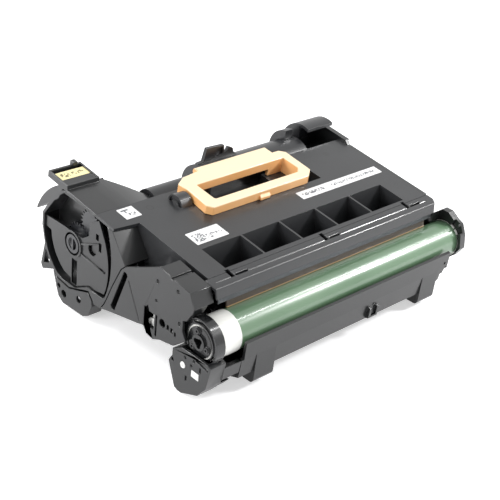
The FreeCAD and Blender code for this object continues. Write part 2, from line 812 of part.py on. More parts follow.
def auger(x0, x1, y, z, shaft_r, flight_r, pitch, flight_start, flight_end):
    shaft = rod(x0, x1, y, z, shaft_r)
    length = flight_end - flight_start
    helix = Part.makeHelix(pitch, length, (shaft_r + flight_r) / 2)
    half = 0.5
    inner = shaft_r - 0.3
    profile = Part.makePolygon(
        [
            Vector(inner, 0, -half),
            Vector(flight_r, 0, -half * 0.7),
            Vector(flight_r, 0, half * 0.7),
            Vector(inner, 0, half),
            Vector(inner, 0, -half),
        ]
    )
    flight = Part.Wire(helix.Edges).makePipeShell([profile], True, True)
    flight.rotate(Vector(0, 0, 0), Vector(0, 1, 0), 90)
    flight.translate(Vector(flight_start, y, z))
    return shaft.fuse(flight).removeSplitter()


DUCT_SHAFT_R = 2.5
DUCT_AUGER_R = 10.2
DUCT_PITCH = 32.0


def cleaning_auger():
    return auger(
        WALL + SEAT,
        COVER_RIGHT + 1.4,
        AUGER_Y,
        AUGER_Z,
        AUGER_SHAFT_R,
        AUGER_R,
        AUGER_PITCH,
        COVER_LEFT + 6,
        COVER_RIGHT - 22,
    )


def auger_gear():
    wheel = gear(AUGER_TEETH, AUGER_Y, AUGER_Z, AUGER_PHASE, GEAR_START, GEAR_FACE)
    return wheel.cut(rod(0.0, 20.0, AUGER_Y, AUGER_Z, AUGER_SHAFT_R))


def idler_gear():
    wheel = gear(IDLER_TEETH, IDLER[0], IDLER[1], IDLER_PHASE, GEAR_START, GEAR_FACE)
    return wheel.cut(rod(0.0, 20.0, IDLER[0], IDLER[1], 2.0 + FIT))


# Drive housing at the rear left

DRIVE_OUTLINE = [
    (76.4, 22.0),
    (92.2, top(92.2) - WALL - SEAT),
    (151.0, top(151.0) - WALL - SEAT),
    (160.0, 45.4),
    (177.4, 21.0),
    (178.0, 10.0),
    (174.6, -4.0),
    (163.6, -22.0),
    (158.0, -26.4),
    (142.0, -28.0),
    (118.2, -19.4),
    (113.4, -24.0),
    (111.0, -27.4),
    (103.6, -26.6),
    (99.6, -20.6),
    (97.2, -16.0),
    (90.2, 0.0),
    (81.4, 17.6),
]
DRIVE_OPENING = [
    (98.6, 43.6),
    ("arc", 92.6, 14.0),
    (98.8, -14.6),
    (101.6, -16.6),
    (114.0, -17.0),
    (119.6, -16.4),
    (134.6, -24.6),
    (150.0, -25.0),
    (158.0, -22.4),
    ("arc", 170.4, -8.0),
    (175.4, 9.0),
    (175.0, 20.0),
    (158.6, 41.6),
    (150.0, 47.6),
]
POST_R = 2.5
GUIDE_POST = (117.0, 15.4)


def drive_housing():
    shell = prism_x(DRIVE_OUTLINE, 0.0, DRIVE_BACK)
    room = prism_x(DRIVE_OPENING, -1.0, DRIVE_DEPTH)
    posts = [
        rod(GEAR_START + 2.0, DRIVE_DEPTH + 1, COUPLING[0], COUPLING[1], POST_R),
        rod(GEAR_START + GEAR_FACE + 0.4, DRIVE_DEPTH + 1, COUPLING[0], COUPLING[1], 4.6),
    ]
    guides = [
        rod(3.4, DRIVE_DEPTH + 1, GUIDE_POST[0], GUIDE_POST[1], 3.4),
        prism_x([(97.0, 6.2), (124.0, 9.4), (124.0, 10.8), (97.0, 7.6)], 5.0, DRIVE_DEPTH + 1),
        prism_x([(101.0, 28.8), (123.0, 19.0), (123.6, 20.2), (101.6, 30.0)], 5.0, DRIVE_DEPTH + 1),
    ]
    body = joined([shell.cut(room)] + posts)
    inner_ribs = joined(guides)
    gear_room = rod(
        GEAR_START - 0.6,
        GEAR_START + GEAR_FACE + 0.6,
        DUCT_Y,
        DUCT_Z,
        MODULE * DUCT_TEETH / 2 + 1.6,
    )
    coupling_room = rod(
        GEAR_START - 0.6,
        GEAR_START + GEAR_FACE + 0.6,
        COUPLING[0],
        COUPLING[1],
        MODULE * COUPLING_TEETH / 2 + 1.6,
    )
    inner_ribs = without(inner_ribs, [gear_room, coupling_room])
    deck = rear_deck()
    bracket = without(
        prism_x(
            [
                (172.0, -6.0),
                (174.4, -4.0),
                (179.4, -24.6),
                (177.0, -28.6),
                (162.0, -22.0),
                (164.0, -19.0),
            ],
            0.0,
            5.0,
        ),
        [prism_x([(171.6, -11.0), (173.4, -10.0), (175.8, -22.6), (167.0, -19.0)], -1.0, 6.0)],
    )
    hood = prism_x(
        [
            (151.0, top(151.0) + 1.6),
            ("arc", 170.4, 42.0),
            (185.4, 21.0),
            (183.6, 21.0),
            ("arc", 169.0, 39.0),
            (151.0, top(151.0) - 1.4),
        ],
        0.0,
        28.0,
    )
    fin = prism_x(
        [
            (151.0, top(151.0) + 0.4),
            ("arc", 170.0, 41.0),
            (185.0, 21.0),
            ("arc", 173.0, 29.0),
            (157.6, 40.0),
        ],
        0.0,
        3.0,
    )
    back_wall = prism_x(
        [
            (160.0, 45.4),
            (177.4, 21.0),
            (178.0, 10.0),
            (174.6, -4.0),
            (172.6, -4.0),
            (175.6, 10.0),
            (175.0, 20.4),
            (158.0, 44.0),
        ],
        DRIVE_BACK - 1.0,
        DECK_RIGHT,
    )
    top_y = 92.2
    closing = prism_x(
        [
            (top_y, top(top_y) - WALL - SEAT),
            (76.4, 22.0),
            (81.4, 17.6),
            (80.4, SHELF_Z + SEAT),
            (82.4, SHELF_Z + SEAT),
            (83.4, 18.2),
            (79.2, 22.2),
            (top_y + 2.6, top(top_y + 2.6) - WALL - SEAT),
        ],
        DRIVE_BACK - 0.6,
        COVER_LEFT - SEAT,
    )
    body = joined([body, inner_ribs, deck, bracket, hood, fin, back_wall, closing])
    bearing = rod(DRIVE_BACK - 4.0, 40.0, DUCT_Y, DUCT_Z, DUCT_SHAFT_R + FIT)
    return without(body, [bearing])


DECK_REAR = 150.5
DECK_RIGHT = 42.0
DECK_DROP = 9.0
TRAY_REAR = 172.0
TRAY_RIGHT = 28.6
TRAY_RAISE = 3.4


def rear_deck():
    """Deck behind the top cover that curves down to the right, with the raised label tray on its rear end."""
    section = [
        (0.0, 0.0),
        (16.0, 0.0),
        ("arc", 42.0, -3.0),
        (LOW_DUCT_START - SEAT, -DECK_DROP),
        (LOW_DUCT_START - SEAT, -DECK_DROP - THIN),
        ("arc", 42.0, -3.0 - THIN),
        (16.0, -WALL),
        (0.0, -WALL),
    ]
    sheet = prism_y(section, COVER_REAR + SEAT, TRAY_REAR)
    plan = prism_z(
        [
            (0.0, COVER_REAR),
            (66.0, COVER_REAR),
            (58.0, 125.0),
            (34.0, DECK_REAR),
            (0.0, DECK_REAR),
        ],
        -30.0,
        5.0,
    )
    deck = sheet.common(plan)
    tray = box(0.0, TRAY_RIGHT, DECK_REAR - 3.0, TRAY_REAR, -2.0, TRAY_RAISE)
    dish = prism_x(
        [
            (DECK_REAR - 1.0, TRAY_RAISE - 1.2),
            (DECK_REAR + 12.0, TRAY_RAISE - 1.2),
            (DECK_REAR + 14.0, TRAY_RAISE - 4.0),
            (TRAY_REAR - 2.4, TRAY_RAISE - 4.0),
            (TRAY_REAR - 1.6, TRAY_RAISE + 2.0),
            (DECK_REAR - 1.0, TRAY_RAISE + 2.0),
        ],
        1.6,
        TRAY_RIGHT - 1.6,
    )
    ear = box(TRAY_RIGHT - 8.6, TRAY_RIGHT - 4.6, TRAY_REAR - 3.0, TRAY_REAR + 1.6, -2.0, TRAY_RAISE + 2.6)
    return on_slope(joined([deck, without(tray, [dish]), ear]))


def drive_cover():
    """Flat cover over the gears, with the coupling's hole and a long upright slot."""
    outline = [
        (101.4, -14.2),
        ("arc", 97.4, 6.0),
        (103.0, 30.0),
        (110.0, 42.4),
        (120.0, 36.4),
        (121.4, 25.0),
        (129.0, 19.6),
        (150.0, 19.6),
        (160.0, 19.4),
        (174.6, 18.6),
        (174.8, 10.0),
        (168.0, 9.0),
        ("arc", 162.0, -8.0),
        (150.6, -18.4),
        (142.4, -20.0),
        (142.0, -24.6),
        (135.2, -24.0),
        (119.6, -15.8),
        (113.8, -16.6),
    ]
    plate = prism_x(outline, 1.6, 3.4)
    hole = rod(0.0, 5.0, COUPLING[0], COUPLING[1], 9.0)
    boss_ring = ring(0.4, 2.0, COUPLING[0], COUPLING[1], 10.8, 9.0)
    bar = box(0.0, 5.0, 134.8, 141.4, -23.8, -2.6)
    small = [
        box(0.0, 5.0, 106.2, 109.2, 18.0, 25.0),
        box(0.0, 5.0, 109.6, 113.0, 26.0, 31.0),
        box(0.0, 5.0, 103.6, 107.2, 4.0, 5.4),
    ]
    post = rod(0.0, 5.0, GUIDE_POST[0], GUIDE_POST[1], 4.6)
    return without(joined([plate, boss_ring]), [hole, bar, post] + small)


def drive_coupling():
    """Gear with a round boss and a two-jaw socket, turned from outside."""
    wheel = gear(COUPLING_TEETH, COUPLING[0], COUPLING[1], 0.0, GEAR_START, GEAR_FACE)
    boss = rod(0.6, GEAR_START + 1, COUPLING[0], COUPLING[1], 7.4)
    body = joined([wheel, boss])
    socket = rod(0.0, 3.0, COUPLING[0], COUPLING[1], 4.8)
    key = box(0.0, 3.0, COUPLING[0] - 0.9, COUPLING[0] + 0.9, COUPLING[1] - 4.9, COUPLING[1] + 4.9)
    bore = rod(GEAR_START + 1.6, 20.0, COUPLING[0], COUPLING[1], POST_R + FIT)
    return without(body, [socket.cut(key), bore])


def duct_auger():
    return auger(
        GEAR_START,
        COVER_RIGHT + 1.4,
        DUCT_Y,
        DUCT_Z,
        DUCT_SHAFT_R,
        DUCT_AUGER_R,
        DUCT_PITCH,
        LOW_DUCT_START + 6,
        DUCT_END - 10,
    )


def duct_gear():
    wheel = gear(DUCT_TEETH, DUCT_Y, DUCT_Z, DUCT_PHASE, GEAR_START, GEAR_FACE)
    return wheel.cut(rod(0.0, 20.0, DUCT_Y, DUCT_Z, DUCT_SHAFT_R))


def lower_rear_cover():
    outline = [
        (163.0, -23.0),
        (158.4, -36.0),
        (155.6, -42.4),
        (150.0, FLOOR_Z),
        (124.0, FLOOR_Z + 1.4),
        (117.4, -40.6),
        (113.2, -30.6),
        (114.0, -25.6),
        (118.4, -20.8),
        (142.0, -29.4),
        (158.0, -27.8),
    ]
    shell = prism_x(outline, 0.0, END_DEPTH)
    shell = shell.cut(shrunk_x(outline, THIN, WALL, END_DEPTH + 1))
    holes = [
        rod(-1.0, WALL + 1, 155.4, -33.0, 2.0),
        rod(-1.0, WALL + 1, 148.8, -37.2, 3.0),
        rod(-1.0, WALL + 1, 130.0, -29.4 - 3.4, 2.8),
    ]
    return without(shell, holes)


# Main frame: closed box under the top cover, with the left end wall

FRAME_FRONT = 31.0
FRAME_OUTLINE = [
    (FRAME_FRONT, -13.0),
    (FRAME_FRONT, 13.4),
    (66.0, 13.4),
    (70.0, 26.0),
    (104.0, 28.6),
    (106.6, 16.0),
    (117.0, 10.2),
    (150.0, 10.2),
    (159.6, -6.0),
    (159.6, -26.0),
    (156.0, -40.0),
    (149.0, FLOOR_Z),
    (124.0, FLOOR_Z),
    (113.0, -30.0),
    (60.0, -17.0),
]


def main_frame():
    outer = prism_x(FRAME_OUTLINE, FRAME_START, COVER_RIGHT)
    inner = shrunk_x(FRAME_OUTLINE, WALL, FRAME_START + WALL, COVER_RIGHT - THIN)
    end_wall = prism_x(
        [
            (14.6, top(14.6) - WALL - 0.4),
            (40.0, top(40.0) - WALL - 0.4),
            (40.0, SHELF_Z),
            (90.0, SHELF_Z),
            (104.0, 5.0),
            (104.0, -27.0),
            (60.0, -17.0),
            (31.0, -13.0),
            (22.0, -13.0),
            (18.6, -8.0),
            (18.6, 8.0),
        ],
        END_DEPTH + SEAT,
        END_DEPTH + SEAT + WALL,
    )
    shelf = joined(
        [
            box(WALL, COVER_LEFT, 40.0, 75.2, SHELF_Z - THIN, SHELF_Z),
            box(SLOT_DEPTH + SEAT, COVER_LEFT, 74.0, 79.6, SHELF_Z - THIN, SHELF_Z),
        ]
    )
    neck = box(END_DEPTH + SEAT, FRAME_START + 1, 33.0, 100.0, -13.0, SHELF_Z - 0.4).cut(
        box(END_DEPTH + WALL, FRAME_START, 33.0 + WALL, 100.0 - WALL, -14.0, SHELF_Z - 0.4 - WALL)
    )
    rear_link = prism_x(
        [(118.0, -24.0), (150.0, -30.0), (150.0, -42.0), (124.0, -42.0)],
        END_DEPTH + SEAT,
        FRAME_START + 1,
    ).cut(box(END_DEPTH + WALL, FRAME_START, 121.0, 148.0, -44.0, -31.0))
    axle_way = rod(0.0, 30.0, AUGER_Y, AUGER_Z, AUGER_SHAFT_R + 0.6)
    body = joined([outer.cut(inner), end_wall, shelf, neck, rear_link])
    drive_room = prism_x(inset(DRIVE_OUTLINE, -SEAT), 0.0, DRIVE_BACK + SEAT)
    return without(body, [axle_way, drive_room])


def lower_guide():
    """Tray below the drum, with two feet, a hook and a stepped right end."""
    section = [
        (-20.0, 0.0),
        (-17.8, 0.6),
        (-16.8, -12.8),
        (-14.6, -14.6),
        (-13.0, -29.4),
        (-8.0, -31.6),
        (FRAME_FRONT, -13.2 - 2.0),
        (FRAME_FRONT, -13.2 - 2.0 - THIN),
        (-7.6, -31.8 - THIN),
        (-15.2, -30.8),
        (-17.0, -15.4),
        (-19.2, -13.6),
    ]
    tray = prism_x(section, GUIDE_START, COVER_RIGHT - SEAT)
    rim = prism_x(
        [
            (FRAME_FRONT - 6.0, -13.0 - SEAT),
            (FRAME_FRONT, -13.0 - SEAT),
            (FRAME_FRONT + 7.0, -13.97 - SEAT),
            (FRAME_FRONT + 7.0, -16.6),
            (FRAME_FRONT, -17.0),
            (FRAME_FRONT - 6.0, -18.4),
        ],
        GUIDE_START,
        COVER_RIGHT - SEAT,
    )
    feet = []
    for x0, x1 in FEET:
        foot = prism_x(
            [
                (-17.2, -15.0),
                (-16.6, FOOT_Z + 4.0),
                ("arc", -15.4, FOOT_Z + 1.2),
                (-12.4, FOOT_Z),
                (-6.0, FOOT_Z),
                (0.0, -30.0),
                (-12.0, -28.0),
            ],
            x0,
            x1,
        )
        hollow = prism_x(
            [(-12.0, -27.0), (-14.6, -34.0), (-13.4, FOOT_Z + 2.4), (-6.8, FOOT_Z + 2.4), (-0.6, -27.0)],
            x0 + THIN,
            x1 - THIN,
        )
        feet.append(foot.cut(hollow))
    hook_left = (GUIDE_START + COVER_RIGHT) / 2 + 20.0
    hook = prism_x(
        [(-16.2, -19.6), (-18.8, -21.0), (-18.2, -29.4), (-15.0, -30.2)], hook_left, hook_left + 10.0
    ).cut(box(hook_left + 1.8, hook_left + 8.2, -19.4, -16.6, -28.0, -19.0))
    ribs = []
    for index in range(7):
        x = 60.0 + index * (COVER_RIGHT - 94.6) / 6
        ribs.append(
            prism_x(
                [(-16.0, -16.0), (-13.4, -29.6), (20.0, -20.8), (20.0, -17.6), (-8.0, -22.0)],
                x,
                x + THIN,
            )
        )
    right = COVER_RIGHT
    steps = prism_y(
        [
            (right + 1.0, -17.6),
            (right - 4.0, -18.6),
            (right - 4.2, -24.4),
            (right - 8.0, -28.0),
            (right - 8.0, -60.0),
            (right + 1.0, -60.0),
        ],
        -30.0,
        -6.0,
    )
    holes = [
        box(right - 5.6, right - 3.6, -30.0, -14.0, -9.4, -7.2),
        box(right - 3.2, right - 1.6, -30.0, -14.0, -14.2, -12.2),
    ]
    return without(joined([tray, rim, hook] + feet + ribs), [steps] + holes)


GUIDE_START = 29.0
FEET = [(43.0, 62.0), (COVER_RIGHT - 27.6, COVER_RIGHT - 8.4)]
FOOT_Z = -41.0


def contact_block():
    """Lower left block that carries the memory chip and the round contact."""
    outline = [
        (12.4, BEARING_FOOT - SEAT),
        (21.6, -14.8),
        (21.6, -20.6),
        (25.0, -26.4),
        (17.4, -44.6),
        (14.0, FLOOR_Z),
        (10.0, FLOOR_Z),
        (-6.4, -38.8),
        (-14.0, -29.0),
        (-17.4, -10.6),
        (-13.6, BEARING_FOOT - SEAT),
    ]
    block = prism_x(outline, 0.0, 14.0)
    hollow = shrunk_x(outline, THIN, WALL, 12.2)
    band = prism_x([(-2.0, -9.9), (-16.0, -11.4), (-15.0, -14.6), (-2.0, -12.6)], -1.0, 1.6)
    chip_seat = box(-1.0, 0.8, CHIP_Y - CHIP_WIDE / 2, CHIP_Y + CHIP_WIDE / 2, CHIP_Z, CHIP_Z + CHIP_HIGH)
    contact_seat = rod(-1.0, 1.2, CONTACT_Y, CONTACT_Z, CONTACT_R)
    slots = [
        box(-1.0, 1.6, 5.4, 7.0, -33.6, -29.4),
        box(-1.0, 1.6, -7.8, -6.4, -20.0, -15.6),
        rod(-1.0, 1.6, 8.2, -15.4, 1.2),
        rod(-1.0, 1.6, -0.6, -13.6, 1.0),
        rod(-1.0, 1.6, 1.6, -18.6, 1.1),
        prism_x([(22.0, -24.4), (19.4, -25.4), (20.4, -22.6), (22.4, -21.6)], -1.0, 15.0),
    ]
    arm = prism_x(
        [(-17.0, -15.4), (-15.4, -26.0), (-11.4, -27.0), (-12.6, -15.6)], 13.0, GUIDE_START - SEAT
    )
    bar = prism_x(
        [(-10.0, -27.0), (-8.0, -33.4), (6.0, -30.0), (6.0, -26.0)], 13.0, GUIDE_START - SEAT
    )
    pad = prism_x([(-14.0, -29.0), (-9.0, -35.2), (-6.0, -37.8), (-3.0, -37.8), (-6.0, -30.0)], 13.0, 22.0)
    body = joined([without(block, [hollow]), arm, bar, pad])
    drum_room = rod(WALL + SEAT, GUIDE_START, 0.0, 0.0, BAND_R + 0.6)
    return without(body, [band, chip_seat, contact_seat, drum_room] + slots)


CHIP_Y = -2.6
CHIP_Z = -26.6
CHIP_WIDE = 7.4
CHIP_HIGH = 5.2
CONTACT_Y = 10.0
CONTACT_Z = -22.4
CONTACT_R = 2.5


def memory_chip():
    board = box(0.0, 0.8, CHIP_Y - CHIP_WIDE / 2, CHIP_Y + CHIP_WIDE / 2, CHIP_Z, CHIP_Z + CHIP_HIGH)
    pads = []
    for index in range(2):
        y0 = CHIP_Y - CHIP_WIDE / 2 + 0.7 + index * 3.2
        pads.append(box(-0.25, 0.1, y0, y0 + 2.8, CHIP_Z + 0.7, CHIP_Z + CHIP_HIGH - 0.7))
    return joined([board] + pads)


def round_contact():
    disc = rod(-0.4, 1.2, CONTACT_Y, CONTACT_Z, CONTACT_R)
    edge = [e for e in disc.Edges if e.Closed and e.BoundBox.XMax < -0.39]
    disc = disc.makeChamfer(0.3, edge)
    return disc.cut(rod(-1.0, 0.4, CONTACT_Y, CONTACT_Z, 0.7))


def charge_terminal():
    """Bent strip behind the window of the left side plate."""
    section = [
        (43.4, -11.4),
        (43.4, -1.0),
        (46.0, -1.0),
        (46.0, -6.0),
        (49.6, -6.0),
        (51.8, -8.8),
        (51.8, -11.4),
    ]
    leaf = prism_x(section, WALL + SEAT, WALL + 0.9)
    nub = prism_x([(49.4, -7.0), (51.8, -7.6), (51.8, -10.8), (49.4, -10.8)], WALL - 0.9, WALL + 0.4)
    return joined([leaf, nub])


# Duct, hood and handle


def rear_duct():
    """Duct round the auger, low on the left and full on the right, with the handle's hinge ears and stop."""
    low_front = DUCT_Y - LOW_DUCT_R
    low_rear = DUCT_Y + LOW_DUCT_R
    floor_z = 10.4
    body = joined(
        [
            rod(DUCT_START, DUCT_END, DUCT_Y, DUCT_Z, DUCT_R),
            rod(LOW_DUCT_START, DUCT_START + 1, DUCT_Y, DUCT_Z, LOW_DUCT_R),
            box(LOW_DUCT_START, DUCT_START + 1, low_front, low_rear, floor_z, DUCT_Z),
        ]
    )
    front_face = on_slope(
        box(0.0, 260.0, 100.0, COVER_REAR + SEAT + THIN, -40.0, 10.0)
    )
    inside = rod(DUCT_START + THIN, DUCT_END - THIN, DUCT_Y, DUCT_Z, DUCT_R - THIN)
    inside = inside.cut(front_face).cut(box(0.0, 260.0, 100.0, 160.0, 0.0, floor_z + THIN))
    low_inside = rod(LOW_DUCT_START + THIN, DUCT_START + THIN + 1, DUCT_Y, DUCT_Z, LOW_DUCT_R - THIN)
    low_room = box(
        LOW_DUCT_START + THIN,
        DUCT_START + THIN + 1,
        DUCT_Y - 7.0,
        low_rear - THIN,
        floor_z + THIN,
        DUCT_Z,
    )
    flat = box(LOW_DUCT_START - 1, DUCT_END + 1, 100.0, 160.0, 0.0, floor_z)
    shaft_way = rod(0.0, COVER_RIGHT, DUCT_Y, DUCT_Z, DUCT_SHAFT_R + FIT)
    under_lip = on_slope(
        box(LOW_DUCT_START - 1, DUCT_END + 1, 100.0, COVER_REAR + SEAT, -40.0, 10.0)
    )
    frame_room = prism_x(
        [(100.0, 29.0), (104.2, 28.9), (106.8, 16.1), (117.0, 10.3), (117.0, 5.0), (100.0, 5.0)],
        LOW_DUCT_START - 1,
        DUCT_END + 1,
    )
    tab_outline = [
        (110.0, 44.0),
        (109.8, 51.6),
        (115.4, 52.2),
        (118.4, 62.6),
        (136.2, 61.8),
        (137.2, 55.6),
        (139.8, 55.6),
        (141.6, 59.0),
        (146.0, 57.0),
        (147.2, 53.4),
        (151.0, 50.4),
        (151.0, 44.0),
    ]
    tab = prism_y(tab_outline, TAB_Y, TAB_Y + 3.0)
    tab_pocket = box(128.6, 135.2, TAB_Y - 1, TAB_Y + 1.8, 54.6, 60.4)
    ears = []
    for x in hinge_ears():
        ears.append(rod(x, x + EAR_WIDE, HINGE[0], HINGE[1], EAR_R))
        ears.append(box(x, x + EAR_WIDE, HINGE[0] - 1.7, HINGE[0] + 1.7, 44.0, HINGE[1]))
    solid = joined([body.cut(flat), tab] + ears)
    pin_way = rod(FLAP_LEFT, FLAP_RIGHT, HINGE[0], HINGE[1], HINGE_R)
    rooms = [inside, low_inside, low_room, shaft_way, pin_way, under_lip, frame_room, tab_pocket]
    return without(solid, rooms)


TAB_Y = 130.0
EAR_WIDE = 4.0
EAR_R = 2.0
FLAP_LEFT = HANDLE_LEFT + 26.0
FLAP_RIGHT = HANDLE_RIGHT - 12.0
FLAP_FRONT = 108.0


def hinge_ears():
    return [FLAP_LEFT + 16.0, FLAP_RIGHT - 12.0]


def handle():
    """Lift handle in one piece: a bail with cut corners and a wide flap that ends in the hinge's knuckle."""
    low = HANDLE_TOP - HANDLE_DEEP
    rear = HANDLE_BACK + 10.0
    inner_right = HANDLE_RIGHT - HANDLE_ARM
    plan = [
        (HANDLE_LEFT + 3.6, HANDLE_FRONT),
        (HANDLE_RIGHT - 9.0, HANDLE_FRONT),
        (HANDLE_RIGHT - 1.0, HANDLE_FRONT + 6.6),
        (HANDLE_RIGHT, rear - 4.6),
        (HANDLE_RIGHT - 4.4, rear),
        (FLAP_LEFT + 6.0, rear),
        (FLAP_LEFT, rear + 4.8),
        (HANDLE_LEFT + 9.0, rear + 2.6),
        (HANDLE_LEFT, rear - 3.0),
        (HANDLE_LEFT + 1.6, HANDLE_BACK - 2.0),
        (HANDLE_LEFT, HANDLE_FRONT + 4.6),
    ]
    window = [
        (HANDLE_LEFT + 12.0, HANDLE_FRONT + HANDLE_BEAM),
        (inner_right - 5.0, HANDLE_FRONT + HANDLE_BEAM),
        (inner_right, HANDLE_FRONT + HANDLE_BEAM + 5.0),
        (inner_right, HANDLE_BACK),
        (HANDLE_LEFT + 12.0, HANDLE_BACK),
    ]
    body = prism_z(plan, low, HANDLE_TOP).cut(prism_z(window, low - 1, HANDLE_TOP + 1))
    body = round_edges(
        body,
        1.4,
        lambda e: e.BoundBox.ZLength > HANDLE_DEEP - 0.1 and e.BoundBox.XLength < 0.01,
    )
    body = round_edges(
        body,
        1.0,
        lambda e: e.BoundBox.ZLength < 0.01 and e.BoundBox.ZMin > HANDLE_TOP - 0.01,
    )
    skirt = box(
        inner_right - 15.0,
        inner_right,
        HANDLE_BACK,
        HANDLE_BACK + 2.4,
        low - 6.0,
        low + 0.5,
    )
    cheek = box(
        inner_right,
        inner_right + 2.4,
        HANDLE_FRONT + HANDLE_BEAM + 5.0,
        HANDLE_BACK + 2.4,
        low - 6.0,
        low + 0.5,
    )
    grip = prism_x(
        [
            (HANDLE_FRONT + 0.6, low + 4.6),
            (HANDLE_FRONT - 1.8, low + 2.2),
            (HANDLE_FRONT - 1.8, low + 0.2),
            (HANDLE_FRONT + 0.6, low + 0.2),
        ],
        HANDLE_LEFT + 50.0,
        HANDLE_LEFT + 60.0,
    )
    body = on_slope(joined([body, skirt, cheek, grip]))
    flap = prism_x(
        [
            (FLAP_FRONT, top(FLAP_FRONT, HANDLE_TOP)),
            (HINGE[0] - 0.3, HINGE[1] + KNUCKLE_R),
            (HINGE[0], HINGE[1]),
            (HINGE[0] - 0.3, HINGE[1] - KNUCKLE_R),
            (HINGE[0] - 5.0, HINGE[1] - KNUCKLE_R - 0.6),
            (FLAP_FRONT, top(FLAP_FRONT, low)),
        ],
        FLAP_LEFT,
        FLAP_RIGHT,
    )
    knuckle = rod(FLAP_LEFT, FLAP_RIGHT, HINGE[0], HINGE[1], KNUCKLE_R)
    pin_way = rod(FLAP_LEFT + 1.6, FLAP_RIGHT - 1.6, HINGE[0], HINGE[1], HINGE_R + FIT)
    spaces = []
    for x in hinge_ears():
        x0 = x - GAP
        x1 = x + EAR_WIDE + GAP
        spaces.append(rod(x0, x1, HINGE[0], HINGE[1], EAR_R + GAP))
        spaces.append(box(x0, x1, HINGE[0] - 2.2, HINGE[0] + 8.0, HINGE[1] - 8.0, HINGE[1]))
        spaces.append(box(x0, x1, HINGE[0], HINGE[0] + 8.0, HINGE[1] - 1.0, HINGE[1] + 2.0))
    return without(joined([body, flap, knuckle]), [pin_way] + spaces)


def handle_pin():
    return rod(FLAP_LEFT + 2.0, FLAP_RIGHT - 2.0, HINGE[0], HINGE[1], HINGE_R)


def rear_right_cover():
    """Quarter-round hood over the duct's right end, with a narrow fin of the same curve beside it."""
    hood = ring(HOOD_START, COVER_RIGHT - SEAT, HOOD_Y, HOOD_Z, HOOD_R, HOOD_R - WALL).common(
        prism_x(
            [
                (HOOD_Y - 8.0, HOOD_Z + 12.0),
                (HOOD_Y - 8.0, 80.0),
                (160.0, 80.0),
                (160.0, HOOD_Z - 18.0),
                (HOOD_Y + 14.0, HOOD_Z - 18.0),
                (HOOD_Y, HOOD_Z),
            ],
            HOOD_START - 1,
            COVER_RIGHT,
        )
    )
    fin = rod(FIN_START, FIN_START + FIN_WIDTH, HOOD_Y, HOOD_Z, FIN_R).common(
        prism_x(
            [
                (HOOD_Y + 1.0, HOOD_Z),
                (HOOD_Y + 1.0, 80.0),
                (160.0, 80.0),
                (160.0, HOOD_Z - 18.0),
                (HOOD_Y + 12.0, HOOD_Z - 18.0),
            ],
            FIN_START - 1,
            FIN_START + FIN_WIDTH + 1,
        )
    )
    cheek = rod(HOOD_START, HOOD_START + THIN, HOOD_Y, HOOD_Z, HOOD_R - 1).common(
        prism_x(
            [
                (HOOD_Y + 2, HOOD_Z + 2),
                (HOOD_Y + 2, 80.0),
                (160.0, 80.0),
                (160.0, HOOD_Z - 18.0),
                (HOOD_Y + 12, HOOD_Z - 18.0),
            ],
            HOOD_START - 1,
            COVER_RIGHT,
        )
    )
    bridge = prism_x(
        [
            (HOOD_Y + 15.0, HOOD_Z - 18.0),
            (HOOD_Y + 20.6, HOOD_Z - 18.0),
            (HOOD_Y + 20.6, HOOD_Z - 2.0),
            (HOOD_Y + 16.0, HOOD_Z - 2.0),
        ],
        FIN_START,
        COVER_RIGHT - SEAT,
    )
    floor = prism_x(
        [
            (HOOD_Y + 10.0, 10.3),
            (HOOD_Y + 20.6, 10.3),
            (HOOD_Y + 20.6, HOOD_Z - 17.0),
            (HOOD_Y + 17.8, HOOD_Z - 17.0),
            (HOOD_Y + 17.8, 14.0),
            (HOOD_Y + 10.0, 12.4),
        ],
        DUCT_END + 1.0,
        COVER_RIGHT - SEAT,
    )
    duct_room = rod(FIN_START - 2, DUCT_END + 0.4, DUCT_Y, DUCT_Z, DUCT_R + SEAT)
    return without(joined([hood, fin, cheek, bridge, floor]), [duct_room])


# Labels and screws


def label(x0, x1, u0, u1, lift=0.0):
    sheet = box(x0, x1, u0, u1, lift, lift + 0.15)
    return on_slope(sheet)


def screws():
    """Cross-head screws that hold the end plates."""
    heads = []
    for x, way, y, z in [
        (COVER_RIGHT + RIGHT_WALL, 1, 60.0, 20.0),
        (COVER_RIGHT + RIGHT_WALL, 1, 140.0, -20.0),
        (COVER_RIGHT + RIGHT_WALL, 1, 50.0, -6.0),
    ]:
        x0 = min(x, x + way * 1.4)
        head = rod(x0, x0 + 1.4, y, z, 2.6)
        face = x + way * 1.4
        slot_a = box(face - 0.7, face + 0.7, y - 1.5, y + 1.5, z - 0.3, z + 0.3)
        slot_b = box(face - 0.7, face + 0.7, y - 0.3, y + 0.3, z - 1.5, z + 1.5)
        heads.append(without(head, [slot_a, slot_b]))
    return Part.makeCompound(heads)


